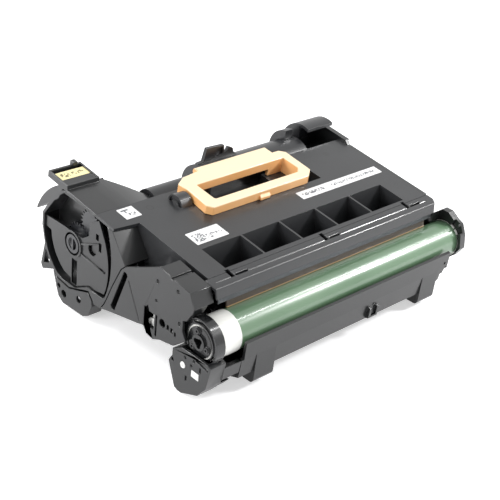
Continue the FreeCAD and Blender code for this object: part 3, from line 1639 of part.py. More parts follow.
PARTS = {
    "top_cover": top_cover,
    "front_cover": front_cover,
    "left_side_plate": left_side_plate,
    "left_drum_bearing": left_bearing,
    "drum_tube": drum_tube,
    "drum_flange_left": drum_flange_left,
    "drum_coupling": drum_coupling,
    "drum_flange_right": drum_flange_right,
    "drum_pin": drum_pin,
    "right_side_plate": right_side_plate,
    "right_drum_bracket": right_bracket,
    "charge_roller": charge_roller,
    "charge_shaft": charge_shaft,
    "charge_bearing_left": lambda: charge_bearing(BEARING_LEFT),
    "charge_bearing_right": lambda: charge_bearing(CHARGE_END + 1.0),
    "charge_spring_left": lambda: charge_spring(BEARING_LEFT),
    "charge_spring_right": lambda: charge_spring(CHARGE_END + 1.0),
    "blade_bracket": blade_bracket,
    "cleaning_blade": cleaning_blade,
    "cleaning_auger": cleaning_auger,
    "cleaning_auger_gear": auger_gear,
    "idler_gear": idler_gear,
    "drive_housing": drive_housing,
    "drive_cover": drive_cover,
    "drive_coupling": drive_coupling,
    "duct_auger": duct_auger,
    "duct_auger_gear": duct_gear,
    "lower_rear_cover": lower_rear_cover,
    "main_frame": main_frame,
    "lower_guide": lower_guide,
    "contact_block": contact_block,
    "memory_chip": memory_chip,
    "round_contact": round_contact,
    "charge_terminal": charge_terminal,
    "rear_duct": rear_duct,
    "rear_right_cover": rear_right_cover,
    "handle": handle,
    "handle_pin": handle_pin,
    "label_long": lambda: label(COVER_RIGHT - 95.6, COVER_RIGHT - 5.6, 51.6, 59.4),
    "label_code": lambda: label(40.4, 70.4, 44.0, 57.8),
    "label_small": lambda: label(15.4, 29.2, 91.2, 103.0),
    "label_yellow": lambda: label(3.0, 26.6, DECK_REAR + 1.0, DECK_REAR + 11.0, TRAY_RAISE - 1.2),
    "plate_screws": screws,
}

os.makedirs("parts", exist_ok=True)
for name, build in PARTS.items():
    shape = build()
    shape.exportStep(os.path.join("parts", name + ".step"))
    low = shape.BoundBox
    print(
        f"{name:22s} solids {len(shape.Solids)} valid {shape.isValid()}"
        f" volume {shape.Volume:9.1f} x {low.XMin:7.2f} {low.XMax:7.2f}"
        f" y {low.YMin:7.2f} {low.YMax:7.2f} z {low.ZMin:7.2f} {low.ZMax:7.2f}"
    )
for name, value in [
    ("idler", IDLER),
    ("coupling", COUPLING),
    ("charge", CHARGE),
    ("hinge", HINGE),
]:
    print(f"{name} axis y {value[0]:.4f} z {value[1]:.4f}")
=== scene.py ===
import json
import math

import bpy
from mathutils import Matrix, Vector

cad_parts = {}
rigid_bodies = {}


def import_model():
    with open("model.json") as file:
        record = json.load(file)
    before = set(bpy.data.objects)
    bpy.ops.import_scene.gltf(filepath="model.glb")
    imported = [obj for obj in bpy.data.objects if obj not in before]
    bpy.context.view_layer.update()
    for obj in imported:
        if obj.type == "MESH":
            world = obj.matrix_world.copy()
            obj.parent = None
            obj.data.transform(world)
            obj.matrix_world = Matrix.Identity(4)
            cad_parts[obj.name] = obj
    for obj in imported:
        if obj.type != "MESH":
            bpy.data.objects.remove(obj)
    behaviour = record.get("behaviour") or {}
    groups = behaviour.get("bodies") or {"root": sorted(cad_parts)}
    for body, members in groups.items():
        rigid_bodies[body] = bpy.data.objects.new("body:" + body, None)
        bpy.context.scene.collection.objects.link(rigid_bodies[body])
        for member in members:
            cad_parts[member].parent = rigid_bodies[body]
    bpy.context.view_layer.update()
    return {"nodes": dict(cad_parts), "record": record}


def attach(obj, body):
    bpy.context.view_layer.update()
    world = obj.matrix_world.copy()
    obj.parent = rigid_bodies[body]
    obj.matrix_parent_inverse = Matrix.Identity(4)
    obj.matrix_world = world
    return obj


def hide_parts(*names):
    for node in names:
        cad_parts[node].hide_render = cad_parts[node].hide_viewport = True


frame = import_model()


# Main frame
# The black box under the covers that everything is fixed to. It is injection-moulded ABS with a
# fine grain, which gives a broad soft sheen, and its edges have a small mould radius.
MM = 0.001
TONE_PATCH = 45.0  # mm, the width of the slow tone changes in moulded plastic
GRAIN_DEPTH = 0.05  # mm, the depth of its grain, which is drawn coarser than it is, to show
SAME_POINT = 0.01  # mm, corners of the CAD triangles that are one point
FLAT_ANGLE = 0.8  # degrees, triangles up to it are one flat face
SHARP_ANGLE = 28.0  # degrees, edges from it get the mould radius
SMOOTH_ANGLE = 35.0  # degrees, faces up to it are shaded as one surface


def rgb(code):
    """Linear colour and alpha from an sRGB hex code."""
    levels = [int(code[i : i + 2], 16) / 255 for i in (1, 3, 5)]
    return [c / 12.92 if c <= 0.04045 else ((c + 0.055) / 1.055) ** 2.4 for c in levels] + [1.0]


def put(tree, kind, settings=(), links=()):
    """Adds a shader node, with its properties or socket values and with its links."""
    node = tree.nodes.new("ShaderNode" + kind)
    for name, value in settings:
        if isinstance(name, str) and hasattr(node, name):
            setattr(node, name, value)
        else:
            node.inputs[name].default_value = value
    for name, source in links:
        tree.links.new(source, node.inputs[name])
    return node


def start_material(name):
    """An empty material and its node tree, with Object coordinates ready."""
    material = bpy.data.materials.new(name)
    material.use_nodes = True
    tree = material.node_tree
    tree.nodes.clear()
    place = put(tree, "TexCoord")
    return material, tree, place.outputs["Object"]


def finish_material(tree, shader):
    """The shader joined to the material's output."""
    put(tree, "OutputMaterial", links=[("Surface", shader.outputs[0])])


def moulded_plastic(name, dark, light, rough, grain, bump, level=0.5, coat=0.4):
    """Moulded plastic: slow tone changes, and a grain, in mm, in the sheen and in the relief."""
    material, tree, place = start_material(name)
    slow = put(
        tree,
        "TexNoise",
        [("Scale", 1 / (TONE_PATCH * MM)), ("Detail", 3.0)],
        [("Vector", place)],
    )
    fine = put(
        tree,
        "TexNoise",
        [("Scale", 1 / (grain * MM)), ("Detail", 2.0)],
        [("Vector", place)],
    )
    tone = put(tree, "ValToRGB", links=[("Fac", slow.outputs["Fac"])])
    tone.color_ramp.elements[0].position = 0.35
    tone.color_ramp.elements[0].color = rgb(dark)
    tone.color_ramp.elements[1].position = 0.68
    tone.color_ramp.elements[1].color = rgb(light)
    sheen = put(
        tree,
        "MapRange",
        [("To Min", rough - 0.04), ("To Max", rough + 0.06)],
        [("Value", fine.outputs["Fac"])],
    )
    relief = put(
        tree,
        "Bump",
        [("Strength", bump), ("Distance", GRAIN_DEPTH * MM)],
        [("Height", fine.outputs["Fac"])],
    )
    shader = put(
        tree,
        "BsdfPrincipled",
        [
            ("IOR", 1.52),
            ("Specular IOR Level", level),
            ("Coat Weight", coat),
            ("Coat Roughness", 0.1),
        ],
        [
            ("Base Color", tone.outputs["Color"]),
            ("Roughness", sheen.outputs["Result"]),
            ("Normal", relief.outputs["Normal"]),
        ],
    )
    finish_material(tree, shader)
    return material


BODY_OF = {}
for body_name, node_names in frame["record"]["behaviour"]["bodies"].items():
    for node_name in node_names:
        BODY_OF[node_name] = body_name


def rounded(name, material, width=0.3, segments=2, clamp=True):
    """A copy of a CAD node that stands for it, its sharp edges rounded by width, in mm.

    With clamp the rounding shrinks where short edges crowd, and without it the width is full.
    """
    bpy.ops.object.select_all(action="DESELECT")
    source = frame["nodes"][name]
    source.select_set(True)
    bpy.context.view_layer.objects.active = source
    bpy.ops.object.duplicate()
    piece = bpy.context.object
    piece.name = name + "_moulding"
    bpy.ops.object.parent_clear(type="CLEAR_KEEP_TRANSFORM")
    bpy.ops.object.mode_set(mode="EDIT")
    bpy.ops.mesh.select_all(action="SELECT")
    bpy.ops.mesh.remove_doubles(threshold=SAME_POINT * MM)
    bpy.ops.mesh.dissolve_limited(angle_limit=math.radians(FLAT_ANGLE))
    bpy.ops.object.mode_set(mode="OBJECT")
    if width:
        edge = piece.modifiers.new("mould radius", "BEVEL")
        edge.width = width * MM
        edge.segments = segments
        edge.limit_method = "ANGLE"
        edge.angle_limit = math.radians(SHARP_ANGLE)
        edge.use_clamp_overlap = clamp
        bpy.ops.object.modifier_apply(modifier=edge.name)
    bpy.ops.object.shade_smooth_by_angle(angle=math.radians(SMOOTH_ANGLE))
    flat = piece.modifiers.new("flat faces stay flat", "WEIGHTED_NORMAL")
    flat.keep_sharp = True
    bpy.ops.object.modifier_apply(modifier=flat.name)
    piece.data.materials.clear()
    piece.data.materials.append(material)
    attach(piece, BODY_OF[name])
    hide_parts(name)
    return piece


black_abs = moulded_plastic("moulded black ABS", "#151617", "#1B1C1D", 0.33, 0.9, 0.18)
rounded("main_frame", black_abs)


# Lower guide
# The tray below the drum, with two feet. It is moulded in the same black ABS as the frame and is
# clipped under it.
rounded("lower_guide", black_abs, 0.35)


# Photoconductor drum
# An aluminium tube with a green photoconductive coating that is dipped on, so it is glass-smooth
# and shines like lacquer. Its tone wanders slowly along the tube.
material, tree, place = start_material("green photoconductor coating")
wander = put(tree, "TexNoise", [("Scale", 1 / (60 * MM)), ("Detail", 2.0)], [("Vector", place)])
tone = put(tree, "ValToRGB", links=[("Fac", wander.outputs["Fac"])])
tone.color_ramp.elements[0].position = 0.3
tone.color_ramp.elements[0].color = rgb("#5B7A5D")
tone.color_ramp.elements[1].position = 0.7
tone.color_ramp.elements[1].color = rgb("#688669")
sheen = put(
    tree,
    "MapRange",
    [("To Min", 0.26), ("To Max", 0.32)],
    [("Value", wander.outputs["Fac"])],
)
shader = put(
    tree,
    "BsdfPrincipled",
    [("IOR", 1.6), ("Coat Weight", 0.6), ("Coat Roughness", 0.12)],
    [("Base Color", tone.outputs["Color"]), ("Roughness", sheen.outputs["Result"])],
)
finish_material(tree, shader)
rounded("drum_tube", material, 0.15)


# Drum flanges
# White acetal mouldings pressed into the tube's ends. The left one has the drive socket, the gear
# and a smooth band. Acetal is slightly translucent and satin.
white_acetal = moulded_plastic("moulded white acetal", "#E9E9E4", "#F2F2EE", 0.38, 0.8, 0.12)
for name in ("drum_flange_left", "drum_flange_right"):
    rounded(name, white_acetal, 0.15)


# Steel pins, shafts, springs and screws
# Bright steel: the drum's pin, the charge roller's shaft and springs, the handle's hinge pin and
# the right plate's screws. Grinding leaves fine lines round a rod that stretch its highlights.
LINE_PITCH = 0.4  # mm, along the rod, coarser than the real lines, so that they show
LINE_LENGTH = 6.0  # mm, round the rod
material, tree, place = start_material("ground steel")
stretch = put(
    tree,
    "Mapping",
    [("Scale", (1 / (LINE_PITCH * MM), 1 / (LINE_LENGTH * MM), 1 / (LINE_LENGTH * MM)))],
    [("Vector", place)],
)
lines = put(
    tree,
    "TexNoise",
    [("Scale", 1.0), ("Detail", 3.0)],
    [("Vector", stretch.outputs["Vector"])],
)
tone = put(tree, "ValToRGB", links=[("Fac", lines.outputs["Fac"])])
tone.color_ramp.elements[0].color = rgb("#A2A3A5")
tone.color_ramp.elements[1].color = rgb("#C4C5C7")
sheen = put(
    tree,
    "MapRange",
    [("To Min", 0.22), ("To Max", 0.4)],
    [("Value", lines.outputs["Fac"])],
)
shader = put(
    tree,
    "BsdfPrincipled",
    [("Metallic", 1.0)],
    [("Base Color", tone.outputs["Color"]), ("Roughness", sheen.outputs["Result"])],
)
finish_material(tree, shader)
for name in (
    "drum_pin",
    "charge_shaft",
    "handle_pin",
    "charge_spring_left",
    "charge_spring_right",
    "plate_screws",
):
    rounded(name, material, 0.0)


# Bearings and drum coupling
# The round cup at the drum's left end, the charge roller's two sliding bearings and the lobed
# coupling in the drum's flange, moulded in black acetal, smoother and darker than the frame.
black_acetal = moulded_plastic("moulded black acetal", "#131415", "#191A1B", 0.24, 0.8, 0.08)
for name in ("left_drum_bearing", "charge_bearing_left", "charge_bearing_right"):
    rounded(name, black_acetal, 0.2)
rounded("drum_coupling", black_acetal, 0.15)


# Charge roller
# Conductive rubber cast on the steel shaft and ground, so it is matt and nearly black.
roller_rubber = moulded_plastic("conductive rubber", "#1C1D1F", "#242527", 0.7, 0.6, 0.3, 0.35)
rounded("charge_roller", roller_rubber, 0.2)


# Cleaning blade and its bracket
# The blade is cast urethane rubber, dark amber and darkened further as painted shade; the paler
# band along its edge at the drum is a painted highlight. It is bonded to a folded bracket of
# sheet steel, dull, drawn dark grey as painted shade from the strip above it.
HIGHLIGHT_FULL_BELOW = 14.8  # mm, height below which the painted highlight is full
HIGHLIGHT_GONE_ABOVE = 15.4  # mm, height above which the painted highlight is gone
material, tree, place = start_material("cast urethane rubber")
split = put(tree, "SeparateXYZ", links=[("Vector", place)])
cloud = put(tree, "TexNoise", [("Scale", 1 / (9 * MM)), ("Detail", 2.0)], [("Vector", place)])
# Painted highlight: near the lower edge the rubber is mixed toward a pale amber that stands in
# for its lit edge.
painted_highlight_share = put(
    tree,
    "MapRange",
    [("From Min", HIGHLIGHT_GONE_ABOVE * MM), ("From Max", HIGHLIGHT_FULL_BELOW * MM)],
    [("Value", split.outputs["Z"])],
)
# These dark browns are the rubber's amber darkened as painted shade.
tone = put(tree, "ValToRGB", links=[("Fac", cloud.outputs["Fac"])])
tone.color_ramp.elements[0].color = rgb("#33291F")
tone.color_ramp.elements[1].color = rgb("#3F3327")
amber = put(
    tree,
    "MixRGB",
    [("Color2", rgb("#A88A63"))],
    [("Fac", painted_highlight_share.outputs["Result"]), ("Color1", tone.outputs["Color"])],
)
shader = put(
    tree,
    "BsdfPrincipled",
    [("Roughness", 0.4), ("IOR", 1.5)],
    [("Base Color", amber.outputs["Color"])],
)
finish_material(tree, shader)
rounded("cleaning_blade", material, 0.0)

material, tree, place = start_material("sheet steel, darkened as painted shade")
grain = put(tree, "TexNoise", [("Scale", 1 / (1.2 * MM)), ("Detail", 3.0)], [("Vector", place)])
tone = put(tree, "ValToRGB", links=[("Fac", grain.outputs["Fac"])])
# Painted shade: the steel is drawn dark grey for the shade under the front strip.
tone.color_ramp.elements[0].color = rgb("#55565A")
tone.color_ramp.elements[1].color = rgb("#66686C")
shader = put(
    tree,
    "BsdfPrincipled",
    [("Metallic", 1.0), ("Roughness", 0.42)],
    [("Base Color", tone.outputs["Color"])],
)
finish_material(tree, shader)
rounded("blade_bracket", material, 0.15)


# Gears and augers
# Moulded in dark grey acetal, which is satin. The teeth come crisp from the mould, so they get no
# radius and only their shading is smoothed.
grey_acetal = moulded_plastic("moulded dark grey acetal", "#1F2023", "#292A2D", 0.34, 0.8, 0.12)
for name in (
    "cleaning_auger",
    "cleaning_auger_gear",
    "idler_gear",
    "drive_coupling",
    "duct_auger",
    "duct_auger_gear",
):
    rounded(name, grey_acetal, 0.0)


# Left side plate, contact block, drive housing and lower rear cover
# The outer mouldings of the left end and of the back, in the same black ABS and fixed to the
# frame. Their edges have the full mould radius, so they glint.
for name in ("left_side_plate", "contact_block", "drive_housing", "lower_rear_cover"):
    rounded(name, black_abs, 0.35, 1, clamp=False)


# Drive cover
# The round lid of the drive housing, in black ABS too. Two low ribs, moulded on its outer face,
# run from the coupling's ring to its front edge and stiffen it.
RIB_OUT = 0.7  # mm, the ribs' outer face
RIB_IN = 2.0  # mm, their root in the lid
RIB_WIDTH = 1.3
RIB_EDGE = 0.25  # mm, the radius of their edges
RIB_ENDS = (((129.6, 6.2), (101.5, 3.6)), ((129.8, 14.6), (108.4, 24.4)))  # y and z
cover_plate = rounded("drive_cover", black_abs, 0.25)
for start, end in RIB_ENDS:
    run = Vector((end[0] - start[0], end[1] - start[1]))
    bpy.ops.object.select_all(action="DESELECT")
    bpy.ops.mesh.primitive_cube_add(size=1.0)
    rib = bpy.context.object
    rib.scale = ((RIB_IN - RIB_OUT) * MM, run.length * MM, RIB_WIDTH * MM)
    bpy.ops.object.transform_apply(location=False, rotation=False, scale=True)
    bpy.ops.object.mode_set(mode="EDIT")
    bpy.ops.mesh.select_all(action="SELECT")
    bpy.ops.mesh.bevel(offset=RIB_EDGE * MM, segments=2, affect="EDGES")
    bpy.ops.object.mode_set(mode="OBJECT")
    rib.rotation_euler = (math.atan2(run.y, run.x), 0.0, 0.0)
    rib.data.materials.append(black_abs)
    rib.location = (
        (RIB_OUT + RIB_IN) / 2 * MM,
        (start[0] + end[0]) / 2 * MM,
        (start[1] + end[1]) / 2 * MM,
    )
    bpy.ops.object.transform_apply(location=True, rotation=True, scale=True)
    bpy.ops.object.shade_smooth_by_angle(angle=math.radians(SMOOTH_ANGLE))
    cover_plate.select_set(True)
    bpy.context.view_layer.objects.active = cover_plate
    bpy.ops.object.join()


# Electrical contacts
# The memory chip's board, the round drum contact and the strip behind the window are tin-plated,
# bright and nearly white.
material, tree, place = start_material("bright tin plate")
wander = put(tree, "TexNoise", [("Scale", 1 / (2.5 * MM)), ("Detail", 2.0)], [("Vector", place)])
tone = put(tree, "ValToRGB", links=[("Fac", wander.outputs["Fac"])])
tone.color_ramp.elements[0].color = rgb("#D9D9D6")
tone.color_ramp.elements[1].color = rgb("#EFEFEC")
shader = put(
    tree,
    "BsdfPrincipled",
    [("Metallic", 0.35), ("Roughness", 0.35)],
    [("Base Color", tone.outputs["Color"])],
)
finish_material(tree, shader)
for name in ("memory_chip", "round_contact", "charge_terminal"):
    rounded(name, material, 0.08)


# Right side plate and drum bracket
# The outer mouldings of the right end, in black ABS. The plate is screwed to the frame, and the
# bracket holds the drum's pin.
for name in ("right_side_plate", "right_drum_bracket"):
    rounded(name, black_abs, 0.35)


# Top cover and front cover
# The sloped plate with its pockets and the strip over the drum are black ABS. Faint rings on the
# plate are the marks of ejector pins.
RING_COLOUR = "#141516"
RING_HALF_WIDTH = 0.32  # mm
RINGS = (  # x, y and radius in mm
    (222.0, 98.0, 2.6),
    (222.0, 98.0, 1.1),
    (40.0, 101.0, 2.6),
    (100.0, 75.0, 1.0),
)
cover_abs = moulded_plastic("moulded black ABS, cover", "#1F2022", "#252628", 0.42, 0.9, 0.22)
tree = cover_abs.node_tree
shader = next(n for n in tree.nodes if n.type == "BSDF_PRINCIPLED")
place = next(n for n in tree.nodes if n.type == "TEX_COORD").outputs["Object"]
flat_place = put(
    tree, "VectorMath", [("operation", "MULTIPLY"), (1, (1.0, 1.0, 0.0))], [(0, place)]
)
colour = shader.inputs["Base Color"].links[0].from_socket
for x, y, radius in RINGS:
    away = put(
        tree,
        "VectorMath",
        [("operation", "DISTANCE"), (1, (x * MM, y * MM, 0.0))],
        [(0, flat_place.outputs["Vector"])],
    )
    ring = put(
        tree,
        "Math",
        [("operation", "COMPARE"), (1, radius * MM), (2, RING_HALF_WIDTH * MM)],
        [(0, away.outputs["Value"])],
    )
    ring_colour = put(
        tree,
        "MixRGB",
        [("Color2", rgb(RING_COLOUR))],
        [("Fac", ring.outputs[0]), ("Color1", colour)],
    )
    colour = ring_colour.outputs["Color"]
tree.links.new(colour, shader.inputs["Base Color"])
rounded("top_cover", cover_abs, 0.4, 1)
rounded("front_cover", cover_abs, 0.4, 1, clamp=False)


# Rear duct and rear right cover
# The round duct and the quarter-round cover at its right end are moulded in a smoother grade, so
# a lamp shows on them as a soft band.
smooth_abs = moulded_plastic(
    "moulded black ABS, smooth", "#222325", "#28292B", 0.30, 14.0, 0.0, coat=0.2
)
for name in ("rear_duct", "rear_right_cover"):
    rounded(name, smooth_abs, 0.3)


# Handle
# One moulding in warm cream polypropylene, waxy, with well-rounded edges, on a hinge pin. Its top
# is drawn paler than its sides, a painted highlight of the light from above, and it lies in the
# slope of the top cover.
PAINTED_TOP_HIGHLIGHT = "#FBE2BC"
HIGHLIGHT_FULL_DEPTH = 0.4  # mm, the depth below the top down to which the painted highlight is full
HIGHLIGHT_END_DEPTH = 1.6  # mm, where the painted highlight ends
SLOPE = math.radians(6.6)
cream_pp = moulded_plastic("moulded cream polypropylene", "#E9AE6E", "#F0BA80", 0.40, 0.9, 0.12)
grip = rounded("handle", cream_pp, 0.5, 3)
top_level = max(v.co.z - math.tan(SLOPE) * v.co.y for v in grip.data.vertices)
tree = cream_pp.node_tree
shader = next(n for n in tree.nodes if n.type == "BSDF_PRINCIPLED")
side_colour = shader.inputs["Base Color"].links[0].from_socket
place = next(n for n in tree.nodes if n.type == "TEX_COORD").outputs["Object"]
# Painted highlight: faces near the top, measured along the slope, are mixed toward the pale cream
# that stands in for light from above.
height = put(
    tree,
    "VectorMath",
    [("operation", "DOT_PRODUCT"), (1, (0.0, -math.tan(SLOPE), 1.0))],
    [(0, place)],
)
painted_top_share = put(
    tree,
    "MapRange",
    [("From Min", top_level - HIGHLIGHT_END_DEPTH * MM), ("From Max", top_level - HIGHLIGHT_FULL_DEPTH * MM)],
    [("Value", height.outputs["Value"])],
)
painted_top_highlight = put(
    tree,
    "MixRGB",
    [("Color2", rgb(PAINTED_TOP_HIGHLIGHT))],
    [("Fac", painted_top_share.outputs["Result"]), ("Color1", side_colour)],
)
tree.links.new(painted_top_highlight.outputs["Color"], shader.inputs["Base Color"])


# Labels
# Self-adhesive coated paper, laid on the slope of the top cover and in the raised tray. Each
# bears faint grey marks, printed as small cells that mean nothing.
PAPER = 0.15  # mm, its thickness
LABEL_CORNER = 0.6  # mm, the radius of its corners
WHITE_PAPER = ("#E4E4E4", "#F0F0F0")
YELLOW_PAPER = ("#F0E2A6", "#F8EDBC")


def inked(tree, place, low, high, cell, share):
    """Share of ink: chance cells, cell mm wide, between two corners given in mm."""
    across = [(high[i] - low[i]) / cell[i] for i in (0, 1)]
    grid = put(
        tree,
        "Mapping",
        [
            ("Scale", (1 / (cell[0] * MM), 1 / (cell[1] * MM), 0.0)),
            ("Location", (-low[0] / cell[0], -low[1] / cell[1], 0.5)),
        ],
        [("Vector", place)],
    )
    split = put(tree, "SeparateXYZ", links=[("Vector", grid.outputs["Vector"])])
    whole = put(tree, "VectorMath", [("operation", "FLOOR")], [(0, grid.outputs["Vector"])])
    chance = put(tree, "TexWhiteNoise", links=[("Vector", whole.outputs["Vector"])])
    result = put(
        tree, "Math", [("operation", "LESS_THAN"), (1, share)], [(0, chance.outputs["Value"])]
    )
    for axis, count in zip("XY", across):
        inside = put(
            tree,
            "Math",
            [("operation", "COMPARE"), (1, count / 2), (2, count / 2)],
            [(0, split.outputs[axis])],
        )
        result = put(
            tree,
            "Math",
            [("operation", "MULTIPLY")],
            [(0, result.outputs[0]), (1, inside.outputs[0])],
        )
    return result


def label_paper(name, tones, patches, ink):
    """Coated paper with printed patches, each low corner, high corner, cell size and share."""
    material, tree, place = start_material(name)
    fibre = put(
        tree,
        "TexNoise",
        [("Scale", 1 / (0.6 * MM)), ("Detail", 3.0)],
        [("Vector", place)],
    )
    tone = put(tree, "ValToRGB", links=[("Fac", fibre.outputs["Fac"])])
    tone.color_ramp.elements[0].color = rgb(tones[0])
    tone.color_ramp.elements[1].color = rgb(tones[1])
    colour = tone.outputs["Color"]
    for low, high, cell, share in patches:
        print_share = inked(tree, place, low, high, cell, share)
        colour = put(
            tree,
            "MixRGB",
            [("Color2", rgb(ink))],
            [("Fac", print_share.outputs[0]), ("Color1", colour)],
        ).outputs["Color"]
    shader = put(
        tree, "BsdfPrincipled", [("Roughness", 0.5), ("IOR", 1.5)], [("Base Color", colour)]
    )
    finish_material(tree, shader)
    return material


def sheet(name, x0, x1, y0, y1, material):
    """A label: a thin sheet with round corners, at the height of its CAD node, in mm."""
    bpy.ops.object.select_all(action="DESELECT")
    bpy.ops.mesh.primitive_cube_add(size=1.0)
    piece = bpy.context.object
    piece.name = name + "_paper"
    piece.scale = ((x1 - x0) * MM, (y1 - y0) / math.cos(SLOPE) * MM, PAPER * MM)
    bpy.ops.object.transform_apply(location=False, rotation=False, scale=True)
    bpy.ops.object.mode_set(mode="EDIT")
    bpy.ops.mesh.select_mode(type="EDGE")
    bpy.ops.mesh.select_all(action="DESELECT")
    bpy.ops.object.mode_set(mode="OBJECT")
    for edge in piece.data.edges:
        ends = [piece.data.vertices[i].co for i in edge.vertices]
        edge.select = abs(ends[0].x - ends[1].x) < 1e-6 and abs(ends[0].y - ends[1].y) < 1e-6
    bpy.ops.object.mode_set(mode="EDIT")
    bpy.ops.mesh.bevel(offset=LABEL_CORNER * MM, segments=4, affect="EDGES")
    bpy.ops.object.mode_set(mode="OBJECT")
    middle = (y0 + y1) / 2
    under = min(v.co.z - math.tan(SLOPE) * v.co.y for v in frame["nodes"][name].data.vertices)
    height = under + math.tan(SLOPE) * middle * MM + PAPER / 2 * MM
    piece.location = ((x0 + x1) / 2 * MM, middle * MM, height)
    piece.rotation_euler = (SLOPE, 0.0, 0.0)
    bpy.ops.object.transform_apply(location=True, rotation=True, scale=True)
    piece.data.materials.append(material)
    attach(piece, BODY_OF[name])
    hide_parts(name)


code_paper = label_paper(
    "coated label paper, code",
    WHITE_PAPER,
    [
        ((42.8, 50.2), (52.2, 59.0), (0.95, 0.95), 0.55),
        ((53.4, 53.2), (68.0, 55.8), (0.9, 0.9), 0.4),
        ((53.4, 50.8), (58.0, 52.2), (0.9, 0.7), 0.45),
    ],
    "#707276",
)
small_paper = label_paper(
    "coated label paper, small",
    WHITE_PAPER,
    [
        ((17.4, 105.4), (23.6, 107.0), (7.0, 2.0), 1.1),
        ((19.6, 102.8), (20.8, 105.4), (7.0, 3.0), 1.1),
        ((21.0, 98.4), (26.6, 102.0), (0.8, 0.9), 0.4),
    ],
    "#6A6C70",
)
strip_paper = label_paper(
    "coated label paper, strip",
    WHITE_PAPER,
    [
        ((157.6, 59.2), (181.0, 62.4), (0.8, 1.1), 0.55),
        ((190.0, 59.4), (241.0, 62.2), (0.8, 1.0), 0.45),
    ],
    "#74767A",
)
yellow_paper = label_paper(
    "coated label paper, yellow",
    YELLOW_PAPER,
    [
        ((4.6, 158.0), (11.6, 163.2), (1.1, 1.2), 0.5),
        ((14.0, 159.0), (24.0, 162.4), (1.2, 1.1), 0.4),
    ],
    "#7A7252",
)
sheet("label_code", 40.4, 70.0, 48.0, 62.3, code_paper)
sheet("label_small", 15.5, 29.0, 96.0, 109.0, small_paper)
sheet("label_long", 154.0, 245.0, 56.0, 65.4, strip_paper)
sheet("label_yellow", 2.0, 26.8, 155.6, 165.4, yellow_paper)


# Floor, lights and camera
# The unit stands on white studio paper by its flat rear bottom edge, under five area lamps. The
# paper and the world show white to the camera and in reflections, and keep the unit's shadow.
FLOOR_Z = -46.0  # mm, the unit's lowest points
FLOOR_SIDE = 6000.0
MIRRORED_GLOW = 0.25  # the paper's own light in reflections
CAMERA_GLOW = 0.25  # and what the camera sees on top of it
SKY = 0.36  # the world's strength where it lights the unit


def seen_or_mirrored(tree, path):
    """1 for what the camera or a glossy surface sees, and 0 for what lights the unit."""
    seen = put(
        tree,
        "Math",
        [("operation", "MAXIMUM")],
        [(0, path.outputs["Is Camera Ray"]), (1, path.outputs["Is Glossy Ray"])],
    )
    return seen.outputs[0]


bpy.ops.object.select_all(action="DESELECT")
bpy.ops.mesh.primitive_plane_add(size=FLOOR_SIDE * MM, location=(0.0, 0.0, FLOOR_Z * MM))
floor = bpy.context.object
floor.name = "studio floor"
material = bpy.data.materials.new("white studio paper")
material.use_nodes = True
tree = material.node_tree
tree.nodes.clear()
paper = put(tree, "BsdfDiffuse", [("Color", (0.86, 0.86, 0.87, 1.0))])
path = put(tree, "LightPath")
seen = seen_or_mirrored(tree, path)
strength = put(
    tree,
    "Math",
    [("operation", "MULTIPLY_ADD"), (1, CAMERA_GLOW), (2, MIRRORED_GLOW)],
    [(0, path.outputs["Is Camera Ray"])],
)
glow = put(
    tree,
    "Emission",
    [("Color", (1.0, 1.0, 1.0, 1.0))],
    [("Strength", strength.outputs[0])],
)
both = put(tree, "AddShader", links=[(0, paper.outputs[0]), (1, glow.outputs[0])])
lit_paper = put(
    tree, "MixShader", links=[(0, seen), (1, paper.outputs[0]), (2, both.outputs[0])]
)
finish_material(tree, lit_paper)
floor.data.materials.append(material)

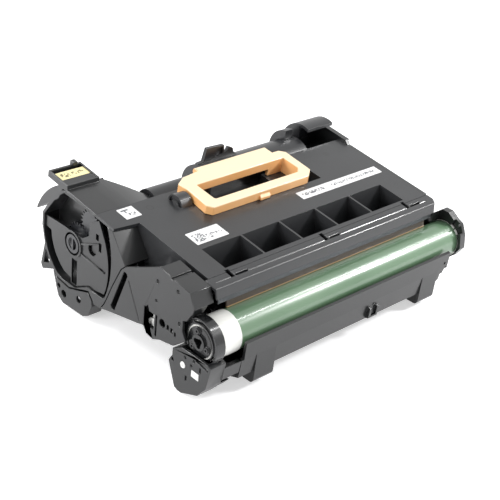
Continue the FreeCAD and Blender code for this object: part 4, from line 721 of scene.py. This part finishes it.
world = bpy.data.worlds.new("studio")
bpy.context.scene.world = world
world.use_nodes = True
tree = world.node_tree
tree.nodes.clear()
soft = put(tree, "Background", [("Color", (1.0, 1.0, 1.0, 1.0)), ("Strength", SKY)])
white = put(tree, "Background", [("Color", (1.0, 1.0, 1.0, 1.0)), ("Strength", 1.0)])
seen = seen_or_mirrored(tree, put(tree, "LightPath"))
mix = put(tree, "MixShader", links=[(0, seen), (1, soft.outputs[0]), (2, white.outputs[0])])
put(tree, "OutputWorld", links=[("Surface", mix.outputs[0])])


def softbox(name, place, target, width, height, power):
    """Rectangular area lamp at place, facing target, in metres and watts."""
    bpy.ops.object.select_all(action="DESELECT")
    bpy.ops.object.light_add(type="AREA", location=place)
    lamp = bpy.context.object
    lamp.name = name
    lamp.data.shape = "RECTANGLE"
    lamp.data.size = width
    lamp.data.size_y = height
    lamp.data.energy = power
    lamp.rotation_euler = (Vector(target) - Vector(place)).to_track_quat("-Z", "Y").to_euler()


softbox("key lamp", (0.97, -0.50, 0.66), (0.13, 0.03, 0.0), 0.16, 0.16, 10.0)
softbox("drum strip lamp", (0.66, -0.225, 0.66), (0.66, 0.0, 0.0), 0.62, 0.05, 2.6)
softbox("rear softbox", (-0.40, 0.75, 0.76), (0.13, 0.05, 0.0), 0.50, 0.20, 6.0)
softbox("left softbox", (-0.85, 0.25, 0.30), (0.0, 0.08, 0.0), 0.7, 0.25, 7.0)
softbox("front softbox", (-0.10, -0.95, 0.25), (0.1, 0.0, 0.0), 0.9, 0.25, 2.0)

# The camera, fitted to the unit's straight edges in the picture, in mm and pixels.
CAMERA_PLACE = (-420.68, -444.69, 416.73)
CAMERA_RIGHT = (0.72669289, -0.68027465, 0.09562345)
CAMERA_DOWN = (-0.27356547, -0.41425399, -0.86807578)
CAMERA_FORWARD = (0.63014235, 0.60466522, -0.48713509)
FOCAL_PIXELS = 1113.83
IMAGE_PIXELS = 500
SENSOR = 36.0
NEAREST = 10.0  # mm, the nearest thing that the camera shows
bpy.ops.object.camera_add()
camera = bpy.context.object
up = [-v for v in CAMERA_DOWN]
back = [-v for v in CAMERA_FORWARD]
turn = Matrix([CAMERA_RIGHT, up, back]).transposed()
camera.matrix_world = Matrix.Translation([v * MM for v in CAMERA_PLACE]) @ turn.to_4x4()
camera.data.sensor_width = SENSOR
camera.data.lens = SENSOR * FOCAL_PIXELS / IMAGE_PIXELS
camera.data.clip_start = NEAREST * MM
bpy.context.scene.camera = camera
bpy.context.scene.view_settings.view_transform = "Standard"
